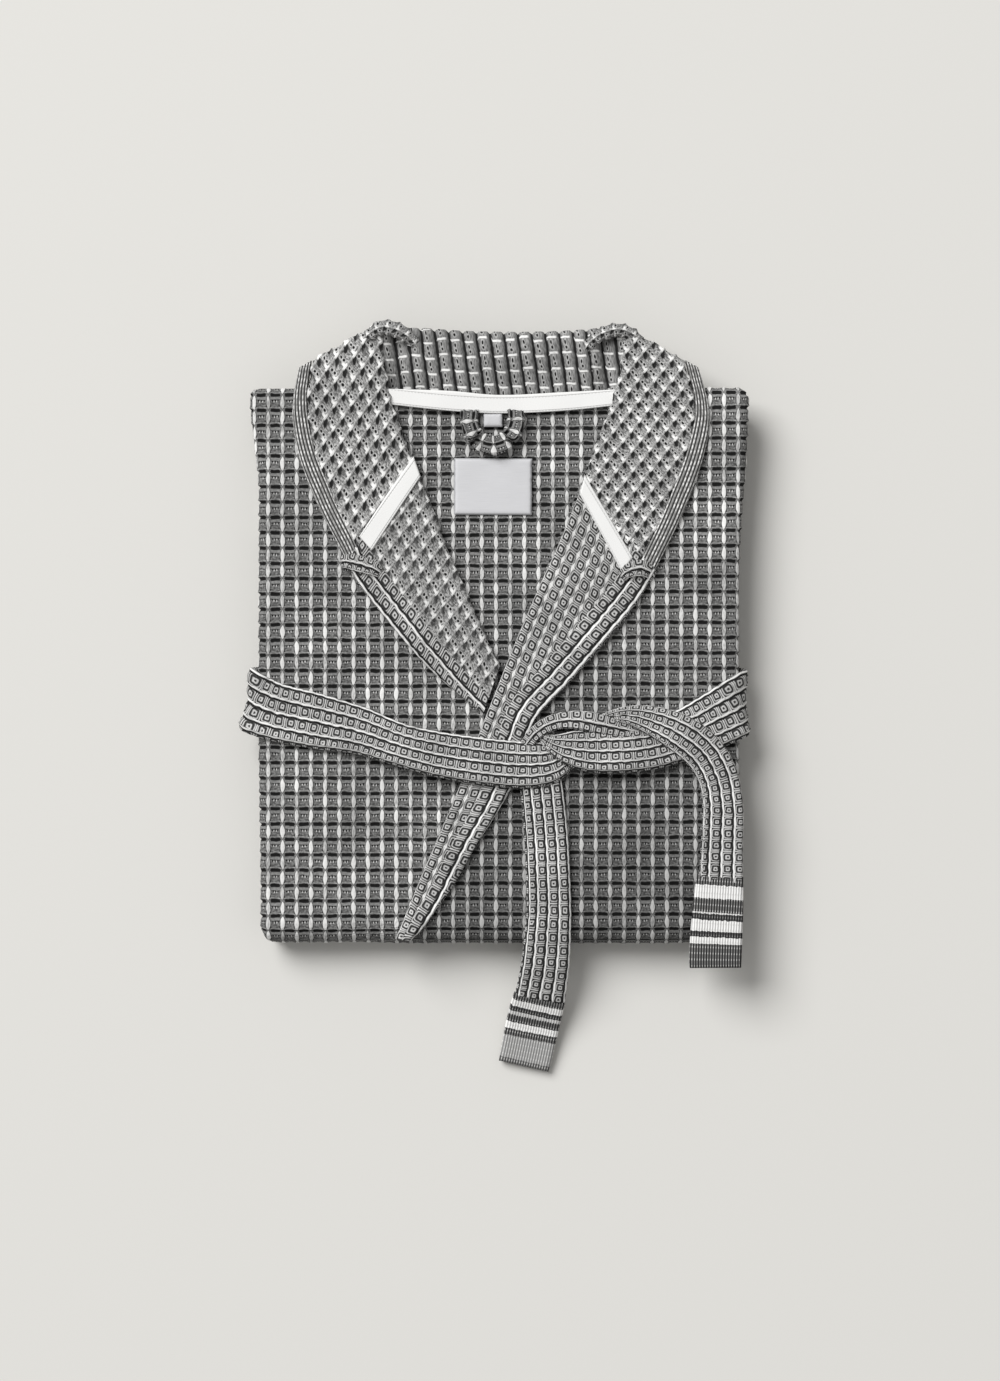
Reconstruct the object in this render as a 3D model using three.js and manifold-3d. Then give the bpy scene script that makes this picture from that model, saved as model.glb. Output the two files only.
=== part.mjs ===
// A waffle-weave bathrobe, folded for a shelf with its belt tied round it.
// Millimetres, +Z up. The robe lies on its back: +Y points to the collar, +X to the wearer's left.
// The origin is the middle of the face that the folded robe rests on.
import * as THREE from "three";
import { mergeVertices } from "three/addons/utils/BufferGeometryUtils.js";
import Module from "manifold-3d";

const wasm = await Module();
wasm.setup();

// ---------------------------------------------------------------- driving dimensions
const bodyWidth = 384; // side fold to side fold
const bodyLength = 444; // shoulder line to bottom fold
const cloth = 3.0; // one layer of waffle cloth as it lies
const gap = 0.35; // clearance between pieces that lie on each other
const flapWidth = 92; // cloth turned behind at each side
const skirtInset = 10; // the skirt's upper fold stops short of the shoulder line
const hemLength = 262; // skirt turned back inside the fold

const neckHalf = 88; // roll line to centre, at the neck seam
const neckBelowShoulder = 6; // neck seam below the shoulder line
const crossBelowNeck = 222; // where the two fronts cross, below the neck seam
const shawlWidth = 85; // widest part of the shawl collar, across the roll line
const shawlRise = 63; // how far the collar runs on past the neck seam
const collarBand = 14; // striped band round the collar
const frontBand = 20; // band down the front edge
const backStand = 47; // collar stand behind the neck
const tapeWidth = 11;
const tapeThick = 1.0;
const neckTapeWidth = 14;
const neckTapeSag = 5;
const tapeStart = { left: 57, right: 68 }; // contrast tapes, down the roll line
const tapeRun = 41; // how much further down its outer end lies
const notch = { left: 112, right: 119 }; // where the striped band ends

const labelCentre = -2.4; // the back-neck labels sit a little off centre
const brandLabel = { width: 62, height: 45, thick: 0.8, drop: 36 };
const sizeLabel = { width: 15, height: 11, thick: 0.8 };
const loop = { width: 55, drop: 35, band: 14, thick: 6 };

const beltWidth = 42;
const beltThick = 4.0;
const tailWidth = 34; // the free ends are drawn in a little
const endCap = { width: 40, length: 70, thick: 4.6 };
const tipLength = 54; // woven stripes and tip of the long end
const beltStand = 2; // slack between the belt and the robe's sides

const sleeveWidth = 165;
const sleeveLength = 300;
const cuffLength = 70;

// ---------------------------------------------------------------- levels, from the bottom up
const halfWidth = bodyWidth / 2;
const halfLength = bodyLength / 2;
const pitch = cloth + gap;
const zSkirtFront = 0;
const zSkirtBack = pitch;
const zHemBack = 2 * pitch;
const zHemFront = 3 * pitch;
const zBeltBack = 4 * pitch;
const zSleeve = zBeltBack + beltThick + gap;
const zFlapFront = zSleeve + 2 * pitch;
const zFlapBack = zSleeve + 3 * pitch;
const zBack = zSleeve + 4 * pitch;
const zFrontLeft = zBack + pitch;
const zFrontRight = zFrontLeft + pitch;
const zCollarRight = zFrontRight + pitch;
const zBeltTop = zCollarRight; // straps that lie on the right front
const zStrapOver = zCollarRight + beltThick + gap; // straps that cross another
const neckY = halfLength - neckBelowShoulder;

// ---------------------------------------------------------------- solids
function solidOf(geometry) {
  const bare = geometry.index ? geometry.toNonIndexed() : geometry.clone();
  bare.deleteAttribute("normal");
  bare.deleteAttribute("uv");
  const merged = mergeVertices(bare, 1e-3);
  return new wasm.Manifold(
    new wasm.Mesh({
      numProp: 3,
      vertProperties: merged.attributes.position.array,
      triVerts: new Uint32Array(merged.index.array),
    }),
  );
}

function geometryOf(solid) {
  const made = solid.getMesh();
  const geometry = new THREE.BufferGeometry();
  geometry.setAttribute("position", new THREE.BufferAttribute(made.vertProperties, 3));
  geometry.setIndex(new THREE.BufferAttribute(made.triVerts, 1));
  geometry.computeVertexNormals();
  return geometry;
}

const shapeOf = (points) => new THREE.Shape(points.map(([x, y]) => new THREE.Vector2(x, y)));

// A plan outline, standing from zLow to zHigh.
function slab(points, zLow, zHigh) {
  const made = new THREE.ExtrudeGeometry(shapeOf(points), {
    depth: zHigh - zLow,
    bevelEnabled: false,
  });
  return solidOf(made.translate(0, 0, zLow));
}

// A (Y, Z) outline, standing from xLow to xHigh.
function alongX(points, xLow, xHigh) {
  const made = new THREE.ExtrudeGeometry(shapeOf(points), {
    depth: xHigh - xLow,
    bevelEnabled: false,
  });
  made.applyMatrix4(new THREE.Matrix4().set(0, 0, 1, xLow, 1, 0, 0, 0, 0, 1, 0, 0, 0, 0, 0, 1));
  return solidOf(made);
}

// An (X, Z) outline, with holes if there are any, standing from yLow to yHigh.
function alongY(points, yLow, yHigh, holes = []) {
  const shape = shapeOf(points);
  shape.holes = holes.map(shapeOf);
  const made = new THREE.ExtrudeGeometry(shape, { depth: yHigh - yLow, bevelEnabled: false });
  made.applyMatrix4(new THREE.Matrix4().set(1, 0, 0, 0, 0, 0, -1, yHigh, 0, 1, 0, 0, 0, 0, 0, 1));
  return solidOf(made);
}

// A round cord or tube pressed to a flat band, swept along a level curve.
function levelBand(points, width, thick, steps) {
  const path = new THREE.CatmullRomCurve3(
    points.map((p) => new THREE.Vector3(...p)),
    false,
    "centripetal",
  );
  const section = shapeOf([
    [-thick / 2, -width / 2],
    [thick / 2, -width / 2],
    [thick / 2, width / 2],
    [-thick / 2, width / 2],
  ]);
  return solidOf(new THREE.ExtrudeGeometry(section, { steps, extrudePath: path, bevelEnabled: false }));
}

const block = (low, high) =>
  slab(
    [
      [low[0], low[1]],
      [high[0], low[1]],
      [high[0], high[1]],
      [low[0], high[1]],
    ],
    low[2],
    high[2],
  );

const smooth = (points, divisions) =>
  new THREE.SplineCurve(points.map(([x, y]) => new THREE.Vector2(x, y)))
    .getPoints(divisions)
    .map((p) => [p.x, p.y]);

// An open line of points, given a thickness.
function thickened(line, thick) {
  const sides = line.map(([x, y], i) => {
    const before = line[Math.max(i - 1, 0)];
    const after = line[Math.min(i + 1, line.length - 1)];
    const one = new THREE.Vector2(x - before[0], y - before[1]).normalize();
    const two = new THREE.Vector2(after[0] - x, after[1] - y).normalize();
    const mean = one.clone().add(two).normalize();
    const straight = one.lengthSq() ? one : two;
    const reach = thick / 2 / Math.max(Math.abs(mean.dot(straight)), 0.5);
    return [
      [x - mean.y * reach, y + mean.x * reach],
      [x + mean.y * reach, y - mean.x * reach],
    ];
  });
  return [...sides.map((s) => s[1]), ...sides.map((s) => s[0]).reverse()];
}

// The points of a half turn round (x, y), from one angle to another.
function turn(x, y, radius, from, to, steps = 10) {
  return Array.from({ length: steps + 1 }, (_, i) => {
    const angle = from + ((to - from) * i) / steps;
    return [x + radius * Math.cos(angle), y + radius * Math.sin(angle)];
  });
}

const group = new THREE.Group();

function add(name, solid, finish, inside = group) {
  const mesh = new THREE.Mesh(geometryOf(solid), finish);
  mesh.name = name;
  inside.add(mesh);
  return mesh;
}

const waffle = new THREE.MeshStandardMaterial({ color: 0x6f6f6f, roughness: 0.95, metalness: 0 });
const waffleLight = new THREE.MeshStandardMaterial({ color: 0x8f8f8f, roughness: 0.95, metalness: 0 });
const stripes = new THREE.MeshStandardMaterial({ color: 0x9a9a9a, roughness: 0.9, metalness: 0 });
const white = new THREE.MeshStandardMaterial({ color: 0xf1f0ee, roughness: 0.85, metalness: 0 });
const satin = new THREE.MeshStandardMaterial({ color: 0xd9d9de, roughness: 0.6, metalness: 0 });

// ---------------------------------------------------------------- outlines seen from above
// The roll line is where the collar turns over: it runs straight from the neck to the bottom fold.
const slope = neckHalf / crossBelowNeck;
const rollX = (y) => neckHalf - (neckY - y) * slope;
const down = new THREE.Vector2(-neckHalf, -crossBelowNeck).normalize();
const out = new THREE.Vector2(-down.y, down.x);

// A place on the collar: `along` down the roll line from the neck, `across` out from it.
const onCollar = (side, along, across) => [
  side * (neckHalf + down.x * along + out.x * across),
  neckY + down.y * along + out.y * across,
];
const sides = { left: -1, right: 1 };
const farDown = (neckY + halfLength) / -down.y; // the roll line's length to the bottom fold

// The shawl collar's outer edge, drawn in by `inset`.
function shawlEdge(inset) {
  const w = shawlWidth - inset;
  return [
    [-shawlRise, -4],
    [-shawlRise + 4, 13],
    [-52, w - 40],
    [-37, w - 18],
    [-26, w - 12],
    [5, w - 3],
    [38, w],
    [74, w - 3],
    [116, w - 5],
    [157, w - 9.5],
    [201, w - 22],
    [242, w - 34],
    [316, w - 45],
    [373, w - 47],
    [431, w - 57],
    [farDown - 4, w - 68],
  ];
}

// The collar from its roll line (or `past` it) to its outer edge.
function shawl(side, inset, past, zLow, zHigh) {
  const edge = smooth(shawlEdge(inset), 34).map(([s, w]) => [s, Math.max(w, -past + 1)]);
  const outline = [[farDown - 4, -past], [-shawlRise, -past], ...edge];
  const placed = outline.map(([s, w]) => onCollar(side, s, w));
  return slab(side > 0 ? placed.reverse() : placed, zLow, zHigh);
}

// Everything further down the collar than a line across it.
function beyond(side, alongInner, alongOuter, zLow, zHigh) {
  const wide = shawlWidth * 2;
  const reach = farDown * 2;
  const lean = (alongOuter - alongInner) / (shawlWidth - collarBand);
  const line = [
    onCollar(side, alongInner - lean * wide, -wide),
    onCollar(side, alongInner + lean * wide, wide),
    onCollar(side, reach, wide),
    onCollar(side, reach, -wide),
  ];
  return slab(side > 0 ? line.reverse() : line, zLow, zHigh);
}

// The region on the far side of a roll line: all the cloth of one front, seen from above.
function frontRegion(side, grow, zLow, zHigh) {
  const top = halfLength * 2;
  const edge = (y) => side * (rollX(y) - grow);
  const far = side * bodyWidth;
  const points = [
    [edge(-top), -top],
    [far, -top],
    [far, top],
    [edge(top), top],
  ];
  return slab(side > 0 ? points : points.reverse(), zLow, zHigh);
}

const everything = (zLow, zHigh) =>
  block([-2 * bodyWidth, -2 * bodyLength, zLow], [2 * bodyWidth, 2 * bodyLength, zHigh]);

// ---------------------------------------------------------------- the folded cloth
// One layer folded like a letter: down the front, behind at the bottom, then back inside.
const hemEndY = halfLength - skirtInset - hemLength;
function letterFold(zTop, zLower, zInner, xReach, inset) {
  const top = zTop + cloth / 2;
  const lower = zLower + cloth / 2;
  const inner = zInner + cloth / 2;
  const big = (top - lower) / 2;
  const small = (inner - lower) / 2;
  const bottomY = -halfLength + inset + big + cloth / 2;
  const upperY = halfLength - skirtInset - inset - small - cloth / 2;
  const line = [
    [halfLength, top],
    ...turn(bottomY, lower + big, big, Math.PI / 2, (3 * Math.PI) / 2, 14),
    ...turn(upperY, lower + small, small, -Math.PI / 2, Math.PI / 2, 8),
    [hemEndY, inner],
  ];
  return alongX(thickened(line, cloth), ...xReach);
}

// A layer that turns behind at one side, as a hook seen along Y.
function sideTurn(side, zTop, zUnder, xOuter, yLow, yHigh) {
  const radius = (zTop - zUnder) / 2;
  const x = xOuter - radius - cloth / 2;
  const line = [
    [x - 12, zTop + cloth / 2],
    ...turn(x, zUnder + radius + cloth / 2, radius, Math.PI / 2, -Math.PI / 2),
    [xOuter - flapWidth, zUnder + cloth / 2],
  ].map(([px, pz]) => [side * px, pz]);
  const outline = thickened(line, cloth);
  return alongY(side > 0 ? outline.reverse() : outline, yLow, yHigh);
}

const frontCurl = (zFrontRight + cloth) / 2; // the outer fold's radius at the bottom edge
const curlTop = -halfLength + frontCurl + gap;
const seamX = rollX(-halfLength); // on the skirt underneath, the fronts meet where the edge ran out
const zMiddle = zSleeve; // what lies above is the body, what lies below is the folded skirt

// Replaces a panel's side, above the bottom fold, with one that turns behind it.
function turnedBehind(panel, side, zTop, zUnder, edge, yLow) {
  const radius = (zTop - zUnder + cloth) / 2;
  const cut = side > 0 ? [edge - radius, bodyWidth] : [-bodyWidth, radius - edge];
  return panel
    .subtract(block([cut[0], yLow, zMiddle], [cut[1], bodyLength, zTop + 2 * cloth]))
    .add(sideTurn(side, zTop, zUnder, edge, yLow, halfLength));
}

// A front ends at its roll line above, and below at the seam with the other front.
function frontPanel(side) {
  const zTop = side > 0 ? zFrontRight : zFrontLeft;
  const reach = side > 0 ? [seamX, halfWidth] : [-halfWidth, -seamX];
  const upper = everything(zMiddle, zTop + 2 * cloth);
  let panel = letterFold(zTop, zSkirtFront, zHemFront, reach, 0)
    .subtract(upper.subtract(frontRegion(side, 0, zMiddle - 1, zTop + 3 * cloth)));
  if (side < 0) {
    const fromSeam = [seamX - gap, -bodyLength, -cloth];
    panel = panel
      .subtract(block(fromSeam, [bodyWidth, bodyLength, zMiddle]))
      .subtract(block(fromSeam, [bodyWidth, curlTop, zTop + 2 * cloth]));
  }
  return turnedBehind(panel, side, zTop, zFlapFront, halfWidth, curlTop);
}

const backInset = cloth + gap + 1; // the back panel lies this far inside the fronts' folds
function backPanel() {
  const edge = halfWidth - backInset;
  let panel = letterFold(zBack, zSkirtBack, zHemBack, [-edge, edge], backInset);
  for (const way of [-1, 1])
    panel = turnedBehind(panel, way, zBack, zFlapBack, edge, curlTop - gap);
  return panel;
}

// A sleeve, or its cuff, as a tube pressed flat.
function flatTube(xInner, width, yLow, yHigh) {
  const round = cloth + gap / 2;
  const middle = zSleeve + round;
  const ring = (radius, steps) => [
    ...turn(xInner + width - round, middle, radius, -Math.PI / 2, Math.PI / 2, steps),
    ...turn(xInner + round, middle, radius, Math.PI / 2, (3 * Math.PI) / 2, steps),
  ];
  return alongY(ring(round, 6), yLow, yHigh, [ring(gap / 2, 2).reverse()]);
}

const folded = new THREE.Group();
group.add(folded);
const panels = { left: frontPanel(-1), right: frontPanel(1) };
add("back_panel", backPanel(), waffle, folded);

// ---------------------------------------------------------------- sleeves, tucked behind the body
const sleeveTop = halfLength - 30;
const sleeveInner = halfWidth - cloth * 2 - sleeveWidth;
for (const [name, side] of Object.entries(sides)) {
  const inner = side > 0 ? sleeveInner : -sleeveInner - sleeveWidth;
  const cuffTop = sleeveTop - sleeveLength;
  add(`sleeve_${name}`, flatTube(inner, sleeveWidth, cuffTop, sleeveTop), waffle, folded);
  add(
    `sleeve_cuff_${name}`,
    flatTube(inner - 2, sleeveWidth + 4, cuffTop - gap - cuffLength, cuffTop - gap),
    waffleLight,
    folded,
  );
}

for (const name of Object.keys(sides)) add(`front_panel_${name}`, panels[name], waffle, folded);

// ---------------------------------------------------------------- shawl collar and front bands
const collar = new THREE.Group();
group.add(collar);
const bandTop = halfLength + 24; // the striped band comes out from behind the collar here
const layer = { left: zFrontRight, right: zCollarRight };

// Where the straps of the knot pass beside the band, the band gives way to them.
const knotClear = (grow) =>
  slab(
    [
      [54 + grow, -42 + grow],
      [34 - grow, -48 + grow],
      [30 - grow, -62],
      [21 - grow, -80],
      [17 - grow, -96],
      [17 - grow, -99 - grow],
      [51 + grow, -99 - grow],
      [54 + grow, -86],
    ].reverse(),
    zBeltTop - grow,
    zBeltTop + beltThick + grow,
  );

for (const [name, side] of Object.entries(sides)) {
  const zLow = layer[name];
  const zHigh = zLow + cloth;
  const under = zLow - 1;
  const over = zHigh + 1;
  // The left collar dips under the right front, which hides the rest of it.
  const seen =
    side > 0
      ? everything(under, over).subtract(knotClear(gap))
      : everything(under, over).subtract(frontRegion(1, gap, under - 1, over + 1));
  const whole = shawl(side, 0, 0, zLow, zHigh).intersect(seen);
  const aboveFold = block([-bodyWidth, curlTop - frontCurl / 2, under], [bodyWidth, bodyLength, over]);
  const belowTop = block([-bodyWidth, -bodyLength, under], [bodyWidth, bandTop, over]);
  const toBand = shawl(side, collarBand, 30, under, over);
  const toFront = shawl(side, frontBand, 30, under, over);
  const lowerBand = beyond(side, notch[name], notch[name] - 6, under, over);
  const pastTape = beyond(side, tapeStart[name], tapeStart[name] + tapeRun, under, over);

  add(
    `collar_band_${name}`,
    whole.subtract(toBand).subtract(lowerBand).intersect(belowTop),
    stripes,
    collar,
  );
  add(
    `front_band_${name}`,
    whole
      .subtract(toFront)
      .intersect(beyond(side, notch[name] + gap, notch[name] - 6 + gap, under, over))
      .intersect(aboveFold),
    waffleLight,
    collar,
  );
  const innerBand = shawl(side, collarBand + gap, 30, under, over).add(
    block([-bodyWidth, bandTop + gap, under], [bodyWidth, bodyLength, over]),
  );
  const innerFront = shawl(side, frontBand + gap, 30, under, over);
  const notchLine = beyond(side, notch[name] - gap, notch[name] - 6 - gap, under, over);
  add(`collar_${name}`, whole.intersect(innerBand).subtract(notchLine).subtract(pastTape), waffle, collar);
  add(
    `lapel_${name}`,
    whole
      .intersect(innerFront)
      .intersect(beyond(side, tapeStart[name] + gap, tapeStart[name] + tapeRun + gap, under, over))
      .intersect(aboveFold),
    waffleLight,
    collar,
  );
  // The white tape over the join.
  const tapeFrom = (start) => beyond(side, start, start + tapeRun, 0, over * 2);
  const tapeArea = tapeFrom(tapeStart[name] - tapeWidth / 2).subtract(
    tapeFrom(tapeStart[name] + tapeWidth / 2),
  );
  add(
    `contrast_tape_${name}`,
    shawl(side, collarBand + gap, 0, zHigh + gap, zHigh + gap + tapeThick).intersect(tapeArea),
    white,
    collar,
  );
}

// The stand behind the neck, rolled over at the top and down behind the back panel.
{
  const halfStand = neckHalf - 3;
  const seamY = neckY + 5;
  const rollY = seamY + backStand;
  const radius = (zFrontLeft - zFlapFront) / 2;
  const line = [
    [seamY, zFrontLeft + cloth / 2],
    ...turn(
      rollY - radius - cloth / 2,
      zFlapFront + radius + cloth / 2,
      radius,
      Math.PI / 2,
      -Math.PI / 2,
      12,
    ),
    [seamY - 32, zFlapFront + cloth / 2],
  ];
  add(
    "collar_back",
    alongX(thickened(line, cloth).reverse(), -halfStand, halfStand),
    waffle,
    collar,
  );
}

// ---------------------------------------------------------------- back neck: tape, labels and hanging loop
const zNeck = zBack + cloth + gap;
const tapeLow = neckY + 5 - gap - neckTapeWidth;
{
  const halfTape = neckHalf - 4;
  const arc = (lift) => smooth(
    [
      [-halfTape, tapeLow + lift],
      [0, tapeLow + lift - neckTapeSag],
      [halfTape, tapeLow + lift],
    ],
    12,
  );
  const strip = [...arc(0), ...arc(neckTapeWidth).reverse()];
  const clear = block(
    [-bodyWidth, neckY + 5 - gap, 0],
    [bodyWidth, bodyLength, zNeck * 2],
  );
  add("neck_tape", slab(strip, zNeck, zNeck + tapeThick).subtract(clear), white);
}
const hingeY = tapeLow - neckTapeSag - gap;
{
  const half = loop.width / 2 - loop.band / 2;
  const reach = loop.drop - loop.band / 2;
  const z = zNeck + loop.thick / 2;
  const path = [
    [labelCentre - half, hingeY, z],
    [labelCentre - half, hingeY - reach * 0.45, z],
    [labelCentre - half * 0.72, hingeY - reach * 0.85, z],
    [labelCentre, hingeY - reach, z],
    [labelCentre + half * 0.72, hingeY - reach * 0.85, z],
    [labelCentre + half, hingeY - reach * 0.45, z],
    [labelCentre + half, hingeY, z],
  ];
  add("hanging_loop", levelBand(path, loop.band, loop.thick, 22), waffleLight);
}
add(
  "size_label",
  block(
    [labelCentre - sizeLabel.width / 2, hingeY - sizeLabel.height, zNeck],
    [labelCentre + sizeLabel.width / 2, hingeY, zNeck + sizeLabel.thick],
  ),
  white,
);
add(
  "brand_label",
  block(
    [labelCentre - brandLabel.width / 2, hingeY - brandLabel.drop - brandLabel.height, zNeck],
    [labelCentre + brandLabel.width / 2, hingeY - brandLabel.drop, zNeck + brandLabel.thick],
  ),
  satin,
);

// ---------------------------------------------------------------- belt, tied in a half knot
const belt = new THREE.Group();
group.add(belt);
const zUnder = zBeltBack + beltThick / 2;
const zOnLeft = zFrontLeft + cloth + gap + beltThick / 2;
const zOn = zBeltTop + beltThick / 2;
const zOver = zStrapOver + beltThick / 2;
const sideX = halfWidth + beltStand + beltThick / 2;
const bend = 7; // the belt's turn at the robe's sides
const backHalf = halfWidth - 40;
const beltY = -29;

// Between two places, how far along `x` is, eased at both ends.
const ease = (x, from, to) => THREE.MathUtils.smoothstep((x - from) / (to - from), 0, 1);

// A belt strand seen from the side, given the belt's width, then drawn down towards the knot.
function strand(line, drop) {
  const outline = thickened(line, beltThick);
  const made = geometryOf(
    alongY(outline, beltY - beltWidth / 2, beltY + beltWidth / 2),
  );
  const place = made.attributes.position;
  for (let i = 0; i < place.count; i++)
    if (place.getZ(i) > zMiddle) place.setY(i, place.getY(i) - drop(Math.abs(place.getX(i))));
  return solidOf(made);
}

add(
  "belt_back",
  block(
    [-backHalf, beltY - beltWidth / 2, zBeltBack],
    [backHalf, beltY + beltWidth / 2, zBeltBack + beltThick],
  ),
  waffleLight,
  belt,
);

// From behind, up round one side and across the front, level with `zTop` then `zEnd`.
function wrapLine(side, zTop, climb, zEnd, endX) {
  const level = Array.from({ length: 12 }, (_, i) => {
    const x = sideX - bend - ((sideX - bend - climb[0]) * i) / 12;
    return [side * x, zTop];
  });
  return [
    [side * (backHalf + gap), zUnder],
    ...turn(sideX - bend, zUnder + bend, bend, -Math.PI / 2, 0, 5).map(([x, z]) => [side * x, z]),
    ...turn(sideX - bend, zTop - bend, bend, 0, Math.PI / 2, 5).map(([x, z]) => [side * x, z]),
    ...level.slice(1),
    [side * climb[0], zTop],
    [side * climb[1], zEnd],
    ...(side * climb[1] < 0 ? [[(side * climb[1] + endX) / 2, zEnd]] : []),
    [endX, zEnd],
  ];
}

const knotLeft = 17;
const knotRight = 54;
const strapEndLeft = 58;
const strandLeft = wrapLine(-1, zOnLeft, [82, 50], zOver, strapEndLeft);
const strandRight = wrapLine(1, zOn, [130, 100], zOn, knotRight + 2 * gap);
add(
  "belt_strap_left",
  strand(strandLeft, (x) => 39 * ease(sideX - x, 6, 168) + 12 * ease(sideX - x, 168, 260)),
  waffleLight,
  belt,
);
add(
  "belt_strap_right",
  strand(strandRight, (x) => 35 * ease(sideX - x, 6, 130)),
  waffleLight,
  belt,
);
add("belt_knot_turn", knotClear(0), waffleLight, belt);

// The strand that comes over the knot and bends down into the short end.
const shortX = 175;
const hingeShortY = -108;
{
  const spine = smooth(
    [
      [80, -38],
      [104, -35],
      [126, -39],
      [146, -50],
      [162, -66],
      [shortX - 3, -82],
      [shortX, hingeShortY + 16],
    ],
    18,
  );
  const bent = slab(
    thickened(spine, tailWidth).map(([x, y]) => [x, Math.max(y, hingeShortY + 16)]),
    zStrapOver,
    zStrapOver + beltThick,
  );
  const dip = alongX(
    thickened(
      [
        [hingeShortY + 17, zOver],
        [hingeShortY + 10, zOver - beltThick / 2],
        [hingeShortY + 4, zOn],
        [hingeShortY + gap, zOn],
      ],
      beltThick,
    ).reverse(),
    shortX - tailWidth / 2,
    shortX + tailWidth / 2,
  );
  add("belt_bridge", bent.add(dip), waffleLight, belt);
}

// A hanging end, drawn as its side view, `lean` sideways as it runs down.
function hanging(line, width, thick, x, lean) {
  const outline = thickened(line, thick).reverse();
  const made = geometryOf(alongX(outline, x - width / 2, x + width / 2));
  const place = made.attributes.position;
  for (let i = 0; i < place.count; i++) place.setX(i, place.getX(i) + lean(place.getY(i)));
  return solidOf(made);
}

// The short end lies down the right front; its cap ends a little past the bottom fold.
const capTop = 50 - halfLength;
const straight = () => 0;
add(
  "belt_tail_short",
  hanging(
    [
      [hingeShortY - gap, zOn],
      [capTop + gap, zOn],
    ],
    tailWidth,
    beltThick,
    shortX,
    straight,
  ),
  waffleLight,
  belt,
);
const capZ = zBeltTop + endCap.thick / 2;
add(
  "belt_end_short",
  hanging(
    [
      [capTop, capZ],
      [capTop - endCap.length * 0.6, capZ],
      [capTop - endCap.length * 0.8, capZ - 0.6],
      [capTop - endCap.length, capZ - 2.5],
    ],
    endCap.width,
    endCap.thick,
    shortX - 1,
    straight,
  ),
  stripes,
  belt,
);

// The long end runs down the middle, over the bottom fold and on to the table.
const longX = 34;
const hingeLongY = -102;
const tipY = -halfLength - 49;
const over = [
  [hingeLongY - gap, zOn],
  [-150, zOn],
  [22 - halfLength, zOn],
  [8 - halfLength, zOn - 0.6],
  [-halfLength - 4, zOn - 3.2],
  [-halfLength - 15, zOn - 8],
  [-halfLength - 24, zOn - 13.4],
  [-halfLength - 36, zOn - 20.6],
  [tipY + gap, zOn - 27.2],
];
const longLean = (y) => {
  const past = -y - halfLength; // how far past the bottom fold
  return 4.5 * ease(past, -120, -22) - 7 * ease(past, -7, 68) - 10 * ease(past, 48, 123);
};
add("belt_tail_long", hanging(over, tailWidth, beltThick, longX, longLean), waffleLight, belt);
add(
  "belt_end_long",
  hanging(
    [
      [tipY - gap * 0.5, zOn - 27.7],
      [tipY - 13, zOn - 33.2],
      [tipY - 25, beltThick / 2 + 3.2],
      [tipY - 37, beltThick / 2 + 1.2],
      [tipY - tipLength, beltThick / 2 + 0.4],
    ],
    tailWidth + 3,
    beltThick,
    longX,
    longLean,
  ),
  stripes,
  belt,
);

export default group;
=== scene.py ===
import math

import bmesh
import bpy
import numpy as np
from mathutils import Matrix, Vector, noise


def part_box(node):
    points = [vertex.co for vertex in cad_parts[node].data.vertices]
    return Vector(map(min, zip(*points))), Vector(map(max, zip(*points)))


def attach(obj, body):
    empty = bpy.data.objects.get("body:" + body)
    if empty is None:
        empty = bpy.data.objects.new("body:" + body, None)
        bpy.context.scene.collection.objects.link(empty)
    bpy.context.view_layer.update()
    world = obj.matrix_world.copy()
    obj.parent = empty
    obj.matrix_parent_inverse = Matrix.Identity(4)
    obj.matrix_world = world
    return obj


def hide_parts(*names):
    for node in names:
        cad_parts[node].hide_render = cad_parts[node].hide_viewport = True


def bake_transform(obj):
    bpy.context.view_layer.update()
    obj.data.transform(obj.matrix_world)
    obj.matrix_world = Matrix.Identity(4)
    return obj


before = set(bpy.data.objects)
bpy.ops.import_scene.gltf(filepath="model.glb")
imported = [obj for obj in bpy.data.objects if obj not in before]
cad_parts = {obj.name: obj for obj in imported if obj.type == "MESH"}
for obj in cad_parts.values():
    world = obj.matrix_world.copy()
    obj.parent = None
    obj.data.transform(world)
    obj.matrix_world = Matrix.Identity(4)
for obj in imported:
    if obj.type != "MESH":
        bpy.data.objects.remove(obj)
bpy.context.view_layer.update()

# ---------------------------------------------------------------------------------- table and light
# A plain pale table, a broad soft light from the upper left, and a camera straight above with a long lens.
table_mesh = bpy.data.meshes.new("table")
bm = bmesh.new()
bmesh.ops.create_grid(bm, x_segments=2, y_segments=2, size=6.0)
bm.to_mesh(table_mesh)
bm.free()
table = bpy.data.objects.new("table", table_mesh)
bpy.context.collection.objects.link(table)
table_paint = bpy.data.materials.new("table_paint")
table_paint.use_nodes = True
table_shader = table_paint.node_tree.nodes["Principled BSDF"]
table_shader.inputs["Base Color"].default_value = (0.72, 0.71, 0.68, 1)
table_shader.inputs["Roughness"].default_value = 0.95
table_shader.inputs["Specular IOR Level"].default_value = 0.1
table_mesh.materials.append(table_paint)

world = bpy.data.worlds.new("room")
world.use_nodes = True
world.node_tree.nodes["Background"].inputs["Color"].default_value = (1.0, 0.995, 0.985, 1)
world.node_tree.nodes["Background"].inputs["Strength"].default_value = 0.37
bpy.context.scene.world = world
bpy.context.scene.view_settings.view_transform = "Standard"


def soft_light(name, place, size, power):
    lamp = bpy.data.lights.new(name, "AREA")
    lamp.shape = "DISK"
    lamp.size = size
    lamp.energy = power
    holder = bpy.data.objects.new(name, lamp)
    holder.location = place
    holder.rotation_euler = (Vector((0, 0, 0)) - Vector(place)).to_track_quat("-Z", "Y").to_euler()
    bpy.context.collection.objects.link(holder)


soft_light("window", (-8.0, 8.6, 12.0), 11.0, 2960)

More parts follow.
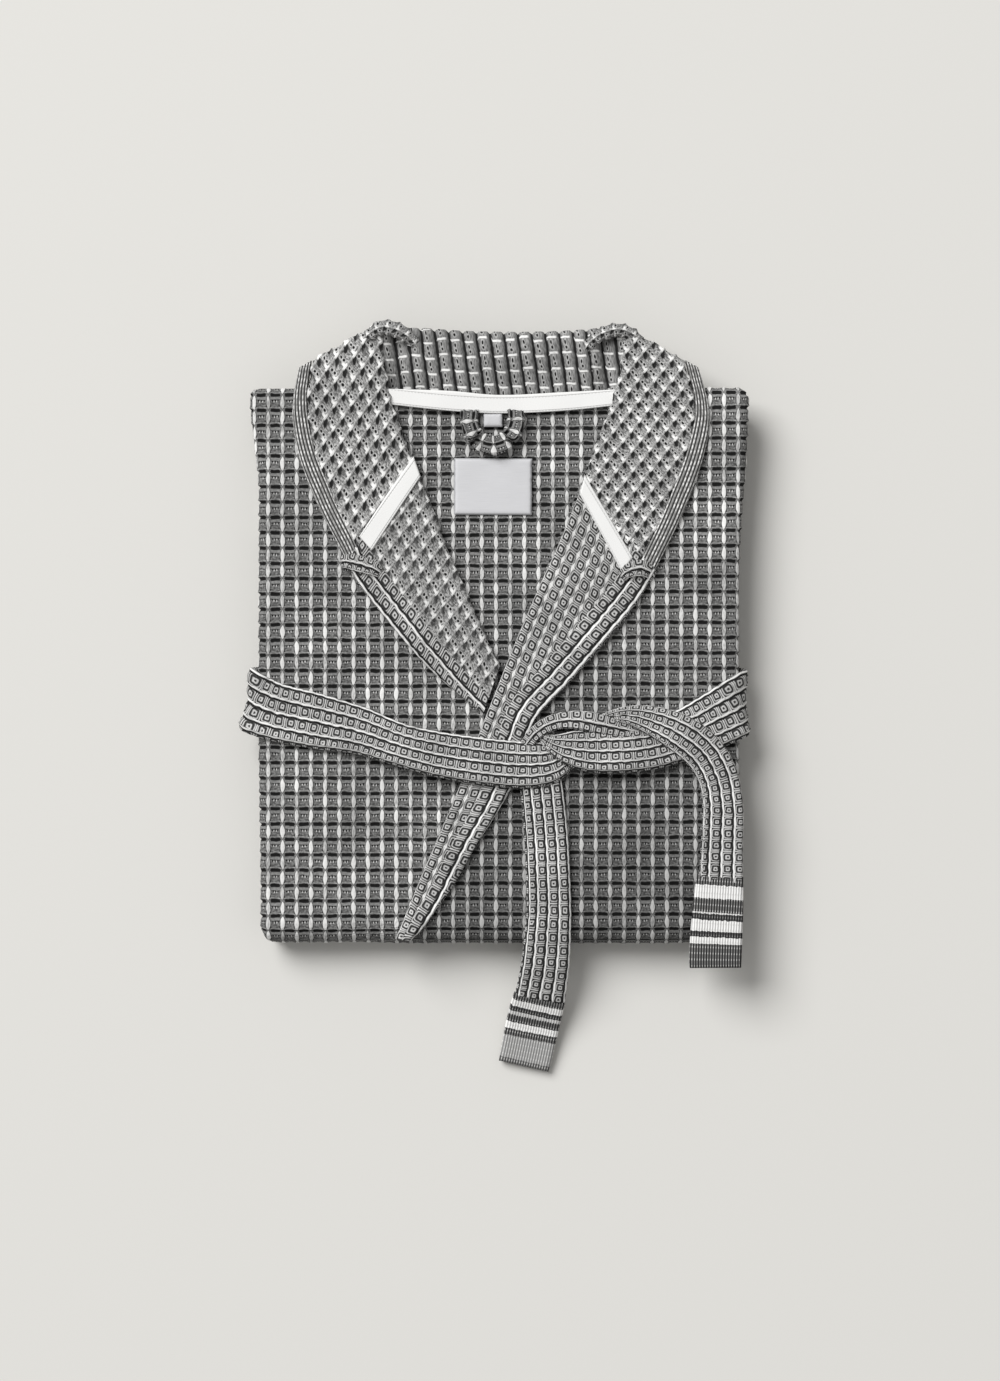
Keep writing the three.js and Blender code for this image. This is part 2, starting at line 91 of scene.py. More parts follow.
view_height, view_span = 3.07, 1.1048
lens = bpy.data.cameras.new("camera")
lens.sensor_width = 36
lens.lens = 36 * view_height / view_span
camera = bpy.data.objects.new("camera", lens)
camera.location = (0.0032, -0.020, view_height + 0.03)
bpy.context.collection.objects.link(camera)
bpy.context.scene.camera = camera

# ---------------------------------------------------------------------------------- waffle cloth
# Grey and white cotton, woven in square cells: pale floats stand up the sides of each cell, grey
# ropes run along its foot, and the floor of the cell is open weave. Facings and belt are flatter.
MM = 0.001


def calc(tree, operation, *values, clamp=False):
    node = tree.nodes.new("ShaderNodeMath")
    node.operation = operation
    node.use_clamp = clamp
    for socket, value in zip(node.inputs, values):
        if isinstance(value, (int, float)):
            socket.default_value = value
        else:
            tree.links.new(value, socket)
    return node.outputs[0]


def fade(tree, value, low, high, start=0.0, end=1.0):
    node = tree.nodes.new("ShaderNodeMapRange")
    node.interpolation_type = "SMOOTHSTEP"
    for name, given in zip(
        ("Value", "From Min", "From Max", "To Min", "To Max"), (value, low, high, start, end)
    ):
        if isinstance(given, (int, float)):
            node.inputs[name].default_value = given
        else:
            tree.links.new(given, node.inputs[name])
    return node.outputs[0]


def blend_colour(tree, amount, below, above):
    node = tree.nodes.new("ShaderNodeMix")
    node.data_type = "RGBA"
    for socket, value in ((node.inputs[0], amount), (node.inputs[6], below), (node.inputs[7], above)):
        if isinstance(value, (int, float)):
            socket.default_value = value
        elif isinstance(value, tuple):
            socket.default_value = value
        else:
            tree.links.new(value, socket)
    return node.outputs[2]


def speckle(tree, vector, scale, detail=2.0):
    node = tree.nodes.new("ShaderNodeTexNoise")
    node.inputs["Scale"].default_value = scale
    node.inputs["Detail"].default_value = detail
    tree.links.new(vector, node.inputs["Vector"])
    return node.outputs["Fac"]


def stretched(tree, vector, scale):
    node = tree.nodes.new("ShaderNodeMapping")
    node.inputs["Scale"].default_value = scale
    tree.links.new(vector, node.inputs["Vector"])
    return node.outputs["Vector"]


def band_mask(tree, value, centre, inner, outer):
    """One near a value, falling to nothing between the inner and outer distance from it."""
    away = calc(tree, "ABSOLUTE", calc(tree, "SUBTRACT", value, centre))
    return fade(tree, away, inner, outer, 1.0, 0.0)


def spot(tree, x, y, centre, radii, inner=0.75, outer=1.25):
    """One inside an oval."""
    dx = calc(tree, "DIVIDE", calc(tree, "SUBTRACT", x, centre[0]), radii[0])
    dy = calc(tree, "DIVIDE", calc(tree, "SUBTRACT", y, centre[1]), radii[1])
    reach = calc(
        tree, "SQRT", calc(tree, "ADD", calc(tree, "MULTIPLY", dx, dx), calc(tree, "MULTIPLY", dy, dy))
    )
    return fade(tree, reach, inner, outer, 1.0, 0.0), reach


def product(tree, *values):
    result = values[0]
    for value in values[1:]:
        result = calc(tree, "MULTIPLY", result, value)
    return result


def start_weave(name, inputs, wander=0.14):
    """A node group for one kind of weave, with the parts of a cell that every kind needs."""
    tree = bpy.data.node_groups.new(name, "ShaderNodeTree")
    tree.interface.new_socket("Cells", in_out="INPUT", socket_type="NodeSocketVector")
    for key, value in inputs.items():
        tree.interface.new_socket(key, in_out="INPUT", socket_type="NodeSocketFloat").default_value = value
    tree.interface.new_socket("Color", in_out="OUTPUT", socket_type="NodeSocketColor")
    tree.interface.new_socket("Height", in_out="OUTPUT", socket_type="NodeSocketFloat")
    given = tree.nodes.new("NodeGroupInput")
    wobble = tree.nodes.new("ShaderNodeTexNoise")
    wobble.inputs["Scale"].default_value = 1.7
    wobble.inputs["Detail"].default_value = 1.0
    tree.links.new(given.outputs["Cells"], wobble.inputs["Vector"])
    shift = tree.nodes.new("ShaderNodeVectorMath")
    shift.operation = "MULTIPLY_ADD"
    tree.links.new(wobble.outputs["Color"], shift.inputs[0])
    shift.inputs[1].default_value = (wander, wander, 0)
    tree.links.new(given.outputs["Cells"], shift.inputs[2])
    moved = shift.outputs[0]
    parts = tree.nodes.new("ShaderNodeSeparateXYZ")
    tree.links.new(moved, parts.inputs[0])
    across = calc(tree, "SUBTRACT", parts.outputs[0], wander / 2)
    up = calc(tree, "SUBTRACT", parts.outputs[1], wander / 2)
    number = tree.nodes.new("ShaderNodeCombineXYZ")
    tree.links.new(calc(tree, "ROUND", across), number.inputs[0])
    tree.links.new(calc(tree, "FLOOR", up), number.inputs[1])
    chance = tree.nodes.new("ShaderNodeTexWhiteNoise")
    chance.noise_dimensions = "2D"
    tree.links.new(number.outputs[0], chance.inputs["Vector"])
    u, v = calc(tree, "FRACT", across), calc(tree, "FRACT", up)
    x, y = calc(tree, "SUBTRACT", u, 0.5), calc(tree, "SUBTRACT", v, 0.5)
    return {
        "tree": tree, "given": given, "cells": given.outputs["Cells"], "moved": moved,
        "across": across, "up": up,
        "u": u, "v": v, "x": x, "y": y,
        "side": calc(tree, "SUBTRACT", 0.5, calc(tree, "ABSOLUTE", x)),
        "foot": calc(tree, "SUBTRACT", 0.5, calc(tree, "ABSOLUTE", y)),
        "luck": chance.outputs["Value"],
        "grain": speckle(tree, moved, 7.0, 3.0),
        "upright": speckle(tree, stretched(tree, moved, (15, 3, 1)), 1.0, 3.0),
        "level": speckle(tree, stretched(tree, moved, (3, 15, 1)), 1.0, 3.0),
    }


def finish_weave(w, colour, height, slow=0.25):
    tree = w["tree"]
    result = tree.nodes.new("NodeGroupOutput")
    tone = calc(tree, "MULTIPLY_ADD", speckle(tree, w["cells"], slow, 1.0), 0.8, 0.6)
    tone = calc(tree, "MULTIPLY", tone, w["given"].outputs["Brightness"])
    toned = tree.nodes.new("ShaderNodeVectorMath")
    toned.operation = "SCALE"
    tree.links.new(colour, toned.inputs[0])
    tree.links.new(tone, toned.inputs["Scale"])
    tree.links.new(toned.outputs[0], result.inputs["Color"])
    tree.links.new(height, result.inputs["Height"])
    return tree


def gray(value):
    return (value, value * 0.995, value * 0.978, 1)


# deep weave of the body: pale floats, three small holes and a dark hollow along each row, whose darkness is
# painted shadow
w = start_weave("waffle_deep", {"Brightness": 1.0})
t, u, v, x, y = w["tree"], w["u"], w["v"], w["x"], w["y"]
colour = blend_colour(
    t, fade(t, calc(t, "MULTIPLY", w["grain"], w["level"]), 0.12, 0.42), gray(0.07), gray(0.29)
)
colour = blend_colour(t, calc(t, "MULTIPLY", fade(t, v, 0.66, 0.74), 0.35), colour, gray(0.42))
colour = blend_colour(t, calc(t, "MULTIPLY", band_mask(t, v, 0.68, 0.0, 0.03), 0.5), colour, gray(0.03))
middle = fade(t, calc(t, "ABSOLUTE", x), 0.25, 0.28, 1.0, 0.0)
beat = calc(t, "COSINE", calc(t, "MULTIPLY", x, 2 * math.pi / 0.19))
holes = product(t, fade(t, beat, 0.0, 0.5), band_mask(t, v, 0.62, 0.03, 0.065), middle)
specks = product(t, fade(t, beat, -0.1, -0.6), band_mask(t, v, 0.555, 0.02, 0.075), middle)
colour = blend_colour(t, calc(t, "MULTIPLY", specks, 0.85), colour, gray(0.8))
colour = blend_colour(t, holes, colour, gray(0.004))
# painted shadow: the hollow at the foot of each cell, under the rope, is coloured near black
hollow_shadow = fade(t, w["foot"], 0.085, 0.15, 1.0, 0.0)
colour = blend_colour(t, calc(t, "MULTIPLY", hollow_shadow, 0.97), colour, gray(0.009))
slant = calc(
    t, "SUBTRACT", calc(t, "SUBTRACT", 0.5, calc(t, "ABSOLUTE", y)), calc(t, "MULTIPLY", w["side"], 0.35)
)
crossing = product(t, band_mask(t, slant, 0.015, 0.025, 0.06), fade(t, w["side"], 0.08, 0.22, 0.85, 0.0))
colour = blend_colour(t, crossing, colour, gray(0.42))
bow = calc(t, "MULTIPLY_ADD", calc(t, "MULTIPLY", x, x), -0.25, 0.185)
rope = band_mask(t, calc(t, "SUBTRACT", v, bow), 0.0, 0.02, 0.055)
rope = product(t, rope, fade(t, w["side"], 0.10, 0.34, 1.0, 0.3))
colour = blend_colour(t, calc(t, "MULTIPLY", rope, 0.9), colour, gray(0.56))
lens = calc(t, "POWER", calc(t, "SINE", calc(t, "MULTIPLY", v, math.pi)), 0.8)
lens = calc(t, "MULTIPLY", lens, calc(t, "MULTIPLY_ADD", w["luck"], 0.025, 0.14))
edge = calc(t, "SUBTRACT", lens, w["side"])
# painted shadow: near black beside each float, strongest near its feet
beside = product(t, fade(t, edge, -0.09, -0.01), calc(t, "ADD", band_mask(t, v, 0.26, 0.03, 0.12), 0.45))
colour = blend_colour(t, calc(t, "MINIMUM", beside, 0.95), colour, gray(0.012))
floats = product(t, fade(t, edge, -0.012, 0.02), fade(t, w["foot"], 0.03, 0.07))
float_colour = blend_colour(
    t, fade(t, calc(t, "MULTIPLY_ADD", w["luck"], 0.4, w["upright"]), 0.35, 0.85), gray(0.36), gray(0.86)
)
colour = blend_colour(t, floats, colour, float_colour)
height = calc(t, "MULTIPLY_ADD", w["grain"], 0.4, calc(t, "MULTIPLY", w["level"], 0.3))
height = calc(t, "ADD", height, calc(t, "MULTIPLY_ADD", floats, 0.5, calc(t, "MULTIPLY", rope, 0.5)))
height = calc(t, "ADD", height, calc(t, "MULTIPLY_ADD", holes, -0.9, calc(t, "MULTIPLY", specks, 0.4)))
waffle_deep = finish_weave(w, colour, height)

# the same weave on the bias, as it lies on the collar: two holes and a bright crossing to each cell, with
# painted shadow in each pit and painted shade along one side, both scaled by Shade
w = start_weave("waffle_bias", {"Brightness": 1.0, "Shade": 1.0}, 0.2)
t, u, v, x, y = w["tree"], w["u"], w["v"], w["x"], w["y"]
shade = w["given"].outputs["Shade"]
colour = blend_colour(
    t, fade(t, calc(t, "MULTIPLY", w["grain"], w["upright"]), 0.14, 0.38), gray(0.10), gray(0.52)
)
ridge = fade(t, calc(t, "MINIMUM", w["side"], w["foot"]), 0.03, 0.10, 1.0, 0.0)
colour = blend_colour(t, calc(t, "MULTIPLY", ridge, 0.5), colour, gray(0.5))
along = calc(t, "MULTIPLY", calc(t, "ADD", u, v), 0.5)
beside = calc(t, "SUBTRACT", u, v)
# painted shadow: a near-black wedge in the pit of each cell, scaled by Shade; the same mask also lowers the
# height
shadowed_pit, reach = spot(t, along, beside, (0.80, 0.0), (0.26, 0.24), 0.7, 1.15)
colour = blend_colour(t, product(t, shadowed_pit, shade, 0.96), colour, gray(0.014))
# painted shade: the side of each cell next to the following ridge is darkened, scaled by Shade
shaded_side = product(t, fade(t, u, 0.70, 0.95), fade(t, w["foot"], 0.05, 0.12), shade)
colour = blend_colour(t, calc(t, "MULTIPLY", shaded_side, 0.75), colour, gray(0.03))
rims, holes = None, None
for centre in ((0.20, 0.66), (0.22, 0.36)):
    hole, reach = spot(t, u, v, centre, (0.075, 0.10), 0.7, 1.1)
    rim = band_mask(t, reach, 1.55, 0.15, 0.5)
    rims = rim if rims is None else calc(t, "MAXIMUM", rims, rim)
    holes = hole if holes is None else calc(t, "MAXIMUM", holes, hole)
colour = blend_colour(
    t, calc(t, "MULTIPLY", rims, calc(t, "MULTIPLY_ADD", w["grain"], 1.0, 0.1), clamp=True), colour,
    gray(0.74)
)
colour = blend_colour(t, calc(t, "MULTIPLY", holes, 0.97), colour, gray(0.005))
long_arm = product(t, fade(t, w["side"], 0.07, 0.13, 1.0, 0.0), fade(t, v, 0.22, 0.5, 1.0, 0.0))
short_arm = product(t, fade(t, w["foot"], 0.06, 0.12, 1.0, 0.0), fade(t, w["side"], 0.12, 0.30, 1.0, 0.0))
star = calc(
    t, "MULTIPLY", calc(t, "MAXIMUM", long_arm, short_arm), calc(t, "MULTIPLY_ADD", w["level"], 1.5, 0.25),
    clamp=True
)
colour = blend_colour(t, star, colour, gray(0.88))
height = calc(t, "MULTIPLY_ADD", w["grain"], 0.5, calc(t, "MULTIPLY", star, 0.5))
height = calc(t, "SUBTRACT", height, calc(t, "MULTIPLY_ADD", holes, 0.8, calc(t, "MULTIPLY", shadowed_pit, 0.6)))
height = calc(t, "ADD", height, calc(t, "MULTIPLY", rims, 0.3))
waffle_bias = finish_weave(w, colour, height)

# flatter weave of facings and belt: rings round a small eye in each cell, thin ribs across the
# rows, and a bright line with a dark slit under it between two rows
w = start_weave("waffle_flat", {"Brightness": 1.0, "Line": 1.0, "Star": 0.0, "Rib": 1.0}, 0.12)
t, u, v, x, y = w["tree"], w["u"], w["v"], w["x"], w["y"]
colour = blend_colour(t, fade(t, w["grain"], 0.3, 0.7), gray(0.08), gray(0.21))
fifth = calc(
    t, "ADD", calc(t, "POWER", calc(t, "ABSOLUTE", x), 5.0), calc(t, "POWER", calc(t, "ABSOLUTE", y), 5.0)
)
reach = calc(t, "MULTIPLY_ADD", calc(t, "SUBTRACT", w["luck"], 0.5), 0.05, calc(t, "POWER", fifth, 0.2))
waves = calc(t, "COSINE", calc(t, "MULTIPLY", reach, 2 * math.pi / 0.25))
inside = fade(t, reach, 0.38, 0.44, 1.0, 0.0)
ring_dark = product(t, fade(t, waves, 0.1, 0.85), inside, calc(t, "MULTIPLY_ADD", w["grain"], 1.7, 0.0))
ring_pale = product(t, fade(t, waves, 0.1, -0.8), inside, calc(t, "MULTIPLY_ADD", w["upright"], 1.6, 0.0))
colour = blend_colour(t, calc(t, "MINIMUM", calc(t, "MULTIPLY", ring_pale, 0.9), 1.0), colour, gray(0.72))
colour = blend_colour(t, calc(t, "MINIMUM", ring_dark, 0.84), colour, gray(0.012))
around = fade(t, reach, 0.365, 0.42)
colour = blend_colour(t, calc(t, "MULTIPLY", around, 0.95), colour, gray(0.014))
rib = product(t, fade(t, w["side"], 0.04, 0.075, 1.0, 0.0), w["given"].outputs["Rib"])
colour = blend_colour(t, calc(t, "MULTIPLY", rib, 0.95), colour, gray(0.62))
line = w["given"].outputs["Line"]
wave = calc(t, "MULTIPLY", calc(t, "SINE", calc(t, "MULTIPLY", w["across"], 2 * math.pi)), 0.015)
slit = product(t, band_mask(t, calc(t, "ADD", v, wave), 0.87, 0.05, 0.10), line)
colour = blend_colour(t, calc(t, "MULTIPLY", slit, 0.95), colour, gray(0.008))
under = calc(t, "MULTIPLY", calc(t, "FRACT", calc(t, "ADD", v, 0.5)), 1.0)
bright = product(
    t, band_mask(t, calc(t, "ADD", under, wave), 0.52, 0.05, 0.10),
    fade(t, w["side"], 0.02, 0.09, 0.4, 1.0)
)
bright = product(t, bright, calc(t, "MULTIPLY_ADD", speckle(t, w["cells"], 0.9, 1.0), 2.2, 0.0), line)
colour = blend_colour(t, calc(t, "MINIMUM", calc(t, "MAXIMUM", bright, 0.0), 1.0), colour, gray(0.88))
hatch = fade(
    t, calc(t, "SINE", calc(t, "MULTIPLY", calc(t, "SUBTRACT", w["across"], w["up"]), 2 * math.pi * 6)),
    -0.4, 0.5, 0.35, 1.0
)
arm = calc(t, "ADD", calc(t, "MULTIPLY", w["side"], 0.55), w["foot"])
star = product(t, fade(t, arm, 0.14, 0.26, 1.0, 0.0), hatch, w["given"].outputs["Star"])
colour = blend_colour(t, calc(t, "MINIMUM", star, 1.0), colour, gray(0.88))
height = calc(t, "MULTIPLY_ADD", w["grain"], 0.4, calc(t, "MULTIPLY", ring_dark, -0.5))
height = calc(t, "ADD", height, calc(t, "MULTIPLY_ADD", slit, -0.8, calc(t, "MULTIPLY", bright, 0.5)))
height = calc(t, "ADD", height, calc(t, "MULTIPLY_ADD", rib, 0.4, calc(t, "MULTIPLY", star, 0.5)))
waffle_flat = finish_weave(w, colour, height)

# the collar's inner side: upright pillows with slits, tied across by white threads
w = start_weave("waffle_pillow", {"Brightness": 1.0}, 0.16)
t, u, v, x, y = w["tree"], w["u"], w["v"], w["x"], w["y"]
colour = blend_colour(t, fade(t, w["upright"], 0.3, 0.7), gray(0.12), gray(0.38))
colour = blend_colour(t, calc(t, "MULTIPLY", fade(t, u, 0.5, 0.9), 0.6), colour, gray(0.07))
slits, reach = spot(t, u, v, (0.30, 0.66), (0.055, 0.12))
lower, reach_low = spot(t, u, v, (0.34, 0.34), (0.06, 0.08))
slits = calc(t, "MAXIMUM", slits, lower)
rims = calc(t, "MAXIMUM", band_mask(t, reach, 1.7, 0.2, 0.55), band_mask(t, reach_low, 1.8, 0.2, 0.6))
colour = blend_colour(t, calc(t, "MULTIPLY", rims, 0.45), colour, gray(0.62))
colour = blend_colour(t, calc(t, "MULTIPLY", slits, 0.97), colour, gray(0.005))
valley = fade(t, calc(t, "FRACT", calc(t, "ADD", u, 0.58)), 0.40, 0.47)
valley = product(t, valley, fade(t, calc(t, "FRACT", calc(t, "ADD", u, 0.58)), 0.60, 0.66, 1.0, 0.0))
colour = blend_colour(t, calc(t, "MULTIPLY", valley, 0.93), colour, gray(0.012))
tie = product(
    t, fade(t, w["foot"], 0.035, 0.10, 1.0, 0.0),
    fade(t, calc(t, "ABSOLUTE", calc(t, "SUBTRACT", u, 0.34)), 0.25, 0.42, 1.0, 0.0)
)
tie = calc(t, "MULTIPLY", tie, calc(t, "MULTIPLY_ADD", w["level"], 1.5, 0.25), clamp=True)
colour = blend_colour(t, tie, colour, gray(0.88))
height = calc(
    t, "MULTIPLY_ADD", w["upright"], 0.5,
    calc(t, "MULTIPLY_ADD", tie, 0.5, calc(t, "MULTIPLY", slits, -0.8))
)
waffle_pillow = finish_weave(w, colour, height)


def cotton(name):
    material = bpy.data.materials.new(name)
    material.use_nodes = True
    shader = material.node_tree.nodes["Principled BSDF"]
    shader.inputs["Roughness"].default_value = 0.92
    shader.inputs["Specular IOR Level"].default_value = 0.08
    return material, material.node_tree, shader


def raised(tree, shader, height_socket, depth_mm):
    bump = tree.nodes.new("ShaderNodeBump")
    bump.inputs["Strength"].default_value = 0.8
    bump.inputs["Distance"].default_value = depth_mm * MM
    tree.links.new(height_socket, bump.inputs["Height"])
    tree.links.new(bump.outputs["Normal"], shader.inputs["Normal"])


def waffle(name, weave, depth_mm=0.7, shade_rows=None, **look):
    material, tree, shader = cotton(name)
    cells = tree.nodes.new("ShaderNodeUVMap")
    cells.uv_map = "cells"
    woven = tree.nodes.new("ShaderNodeGroup")
    woven.node_tree = weave
    for key, value in look.items():
        woven.inputs[key].default_value = value
    tree.links.new(cells.outputs["UV"], woven.inputs["Cells"])
    # painted shade, where given: brightness falls along the rows of cells
    if shade_rows:
        rows = tree.nodes.new("ShaderNodeSeparateXYZ")
        tree.links.new(cells.outputs["UV"], rows.inputs[0])
        tree.links.new(fade(tree, rows.outputs[1], *shade_rows), woven.inputs["Brightness"])
    tree.links.new(woven.outputs["Color"], shader.inputs["Base Color"])
    raised(tree, shader, woven.outputs["Height"], depth_mm)
    return material


body_waffle = waffle("body_waffle", waffle_deep, Brightness=0.86)
# painted shade: the right front's colour darkens from 0.98 to 0.55 of full brightness over rows -8 to -38,
# towards its lower end
right_waffle_shaded = waffle("right_waffle_shaded", waffle_deep, shade_rows=(-38, -8, 0.55, 0.98))
collar_waffle = waffle("collar_waffle", waffle_bias, Brightness=0.97)
facing_waffle = waffle("facing_waffle", waffle_flat, 0.9, Brightness=0.97)
lapel_waffle = waffle("lapel_waffle", waffle_flat, 0.9, Line=0.3, Star=1.2, Rib=0.7)
bias_lapel = waffle("bias_lapel", waffle_bias, Brightness=0.88, Shade=0.75)


def deep_relief(cells, depth=1.5):
    """Floats stand high up the sides of a cell, a rope along its foot, and a groove under the rope."""
    u, v = cells[:, 0] % 1, cells[:, 1] % 1
    side = np.minimum(u, 1 - u)
    rope = np.abs((v - 0.14 + 0.5) % 1 - 0.5)
    groove = np.abs((v + 0.02 + 0.5) % 1 - 0.5)
    stand = np.exp(-((side / 0.15) ** 2)) * np.sin(np.pi * v) ** 0.6
    ridge = 0.55 * np.exp(-((rope / 0.11) ** 2))
    return depth * (0.9 * stand + ridge - 0.7 * np.exp(-((groove / 0.09) ** 2)) - 0.35)


def diamond_relief(cells, depth=1.9):
    """Ridges round all four sides of a deep cell."""
    u, v = cells[:, 0] % 1, cells[:, 1] % 1
    near = np.minimum(np.minimum(u, 1 - u), np.minimum(v, 1 - v))
    corner = np.exp(-((np.minimum(u, 1 - u) ** 2 + np.minimum(v, 1 - v) ** 2) / 0.03))
    return depth * (0.8 * np.exp(-((near / 0.16) ** 2)) + 0.3 * corner - 0.4)


def flat_relief(cells, depth=1.5):
    """Small pillows with a dark groove beside the bright line between two rows."""
    u, v = cells[:, 0] % 1, cells[:, 1] % 1
    side = np.minimum(u, 1 - u)
    groove = np.abs((v - 0.86 + 0.5) % 1 - 0.5)
    line = np.abs((v - 0.04 + 0.5) % 1 - 0.5)
    eye = np.hypot(u - 0.5, v - 0.45)
    dip = 0.9 * np.exp(-((groove / 0.11) ** 2)) + 0.2 * np.exp(-((side / 0.11) ** 2))
    dip = dip + 0.3 * np.exp(-((eye / 0.13) ** 2))
    return depth * (0.3 + 0.3 * np.exp(-((line / 0.09) ** 2)) - dip)


def calm(cells):
    return np.zeros(len(cells))


def woven_piece(name, across, along, place, relief, material, closed=False):
    """A grid of small faces, laid where `place` puts it and raised into cells along its normals.
    `place` takes two arrays from 0 to 1, and gives points in millimetres and a place in the weave."""
    bm = bmesh.new()
    bmesh.ops.create_grid(bm, x_segments=across, y_segments=along, size=0.5)
    mesh = bpy.data.meshes.new(name + "_cloth")
    bm.to_mesh(mesh)
    bm.free()
    flat = np.empty(len(mesh.vertices) * 3)
    mesh.vertices.foreach_get("co", flat)
    flat = flat.reshape(-1, 3)
    points, cells = place(flat[:, 0] + 0.5, flat[:, 1] + 0.5)
    mesh.vertices.foreach_set("co", (points * MM).ravel())
    mesh.update()
    normals = np.empty(len(points) * 3)
    mesh.vertices.foreach_get("normal", normals)
    normals = normals.reshape(-1, 3)
    points = points + normals * relief(cells)[:, None]
    mesh.vertices.foreach_set("co", (points * MM).ravel())
    corners = np.empty(len(mesh.loops), dtype=np.int32)
    mesh.loops.foreach_get("vertex_index", corners)
    layer = mesh.uv_layers.new(name="cells")
    layer.data.foreach_set("uv", cells[corners].astype(np.float32).ravel())
    if closed:
        bm = bmesh.new()
        bm.from_mesh(mesh)
        bmesh.ops.remove_doubles(bm, verts=bm.verts, dist=1e-5)
        bmesh.ops.recalc_face_normals(bm, faces=bm.faces)
        bm.to_mesh(mesh)
        bm.free()
    for polygon in mesh.polygons:
        polygon.use_smooth = True
    mesh.materials.append(material)
    mesh.update()
    piece = bpy.data.objects.new(name + "_cloth", mesh)
    bpy.context.collection.objects.link(piece)
    return piece


def trim(piece, where, outward, above=-1e9):
    """Cuts a piece along an upright plane and drops what lies outward of it, higher than `above`."""
    bm = bmesh.new()
    bm.from_mesh(piece.data)
    high = [f for f in bm.faces if f.calc_center_median().z > above * MM]
    geometry = high + list({e for f in high for e in f.edges}) + list({v for f in high for v in f.verts})
    bmesh.ops.bisect_plane(
        bm, geom=geometry, plane_co=Vector(where) * MM, plane_no=Vector(outward), clear_outer=True
    )
    bm.to_mesh(piece.data)
    bm.free()


def ripple(x, y, size, reach):
    """A slow, uneven swell of the cloth, in millimetres."""
    return reach * np.array([noise.noise(Vector((a / size, b / size, 0.3))) for a, b in zip(x, y)])


def smooth_step(value, low, high):
    t = np.clip((value - low) / (high - low), 0, 1)
    return t * t * (3 - 2 * t)


# ---------------------------------------------------------------------------------- body of the robe
# The fronts and back are folded like a letter: down to the bottom fold, behind, and back inside.
# Above the fold their sides turn behind too. The outer cloth of each front is one sheet.
CELL = (11.36, 12.24)
# heights of the two fronts and the back, and half the length of the right front, read from the CAD parts
top_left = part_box("front_panel_left")[1][2] / MM
top_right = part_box("front_panel_right")[1][2] / MM
top_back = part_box("back_panel")[1][2] / MM
half_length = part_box("front_panel_right")[1][1] / MM
flap_level = 24.5


def arc(centre, radius, start, end, count=24):
    angles = np.linspace(start, end, count)
    return np.column_stack([centre[0] + radius * np.cos(angles), centre[1] + radius * np.sin(angles)])


def letter_path(top, low, inner):
    """Seen from the side: over the shoulder, down the front, round the bottom fold and back."""
    shoulder = (top - flap_level) / 2
    fold = (top - low) / 2
    corners = [
        np.array([[half_length - 60, flap_level]]),
        arc((half_length - shoulder, flap_level + shoulder), shoulder, -math.pi / 2, math.pi / 2),
        arc((fold - half_length, low + fold), fold, math.pi / 2, 3 * math.pi / 2, 40),
        arc((half_length - 12 - inner, low + inner), inner, -math.pi / 2, math.pi / 2),
        np.array([[half_length - 120, low + 2 * inner]]),
    ]
    line = np.vstack(corners)
    run = np.concatenate([[0], np.cumsum(np.hypot(*np.diff(line, axis=0).T))])
    fine = np.arange(0, run[-1], 0.5)
    y, z = np.interp(fine, run, line[:, 0]), np.interp(fine, run, line[:, 1])
    return fine, y, z


def side_edge_at(y, side):
    if side < 0:
        return 189.5 + 7.5 * smooth_step(y, 140, 212) - 1.5 * smooth_step(-y, 60, 200)
    return 194.5 + 7.0 * smooth_step(y, 60, 212)


def fold_place(side, top, low, inner, turn_radius, edge_at, flap, x_inner_at, rows):
    """Lays a sheet along the letter path, with its outer side turned behind."""
    run, path_y, path_z = letter_path(top, low, inner)

    def place(a, b):
        s = np.interp(1 - b, rows[0], np.array(rows[1]) * run[-1])
        y, z = np.interp(s, run, path_y), np.interp(s, run, path_z)
        ahead, behind = np.clip(s + 1.5, 0, run[-1]), np.clip(s - 1.5, 0, run[-1])
        dy = np.interp(ahead, run, path_y) - np.interp(behind, run, path_y)
        dz = np.interp(ahead, run, path_z) - np.interp(behind, run, path_z)
        size = np.hypot(dy, dz)
        ny, nz = dz / size, -dy / size
        under = smooth_step(-z, -20, -6)
        at_shoulder = smooth_step(y, half_length - 14, half_length - 3)
        behind_neck = smooth_step(-nz, -0.4, 0.6) * (z > 20)
        radius = turn_radius * (1 - 0.5 * under) * (1 - 0.6 * at_shoulder) * (1 - 0.85 * behind_neck)
        corner = np.clip((np.abs(y) - (half_length - 9)) / 9, 0, 1)
        edge = edge_at(y) - 5 * under - 7 * (1 - np.sqrt(1 - corner**2))
        x_inner = x_inner_at(s / run[-1])
        x_outer = edge - radius + math.pi * radius + flap
        t = x_inner + (x_outer - x_inner) * (a if side > 0 else 1 - a)
        bend = np.clip((t - (edge - radius)) / radius, 0, math.pi)
        beyond = np.maximum(t - (edge - radius) - math.pi * radius, 0)
        x = np.where(bend > 0, edge - radius + radius * np.sin(bend) - beyond, t)
        sunk = radius * (1 - np.cos(bend))
        lift = ripple(side * x, y + 300 * (z < 20), 70, 1.1) * (bend < 1.5)
        points = np.column_stack([side * x, y - ny * (sunk - lift), z - nz * (sunk - lift)])
        return points, np.column_stack([side * t / CELL[0], -s / CELL[1]])

    return place, run[-1]


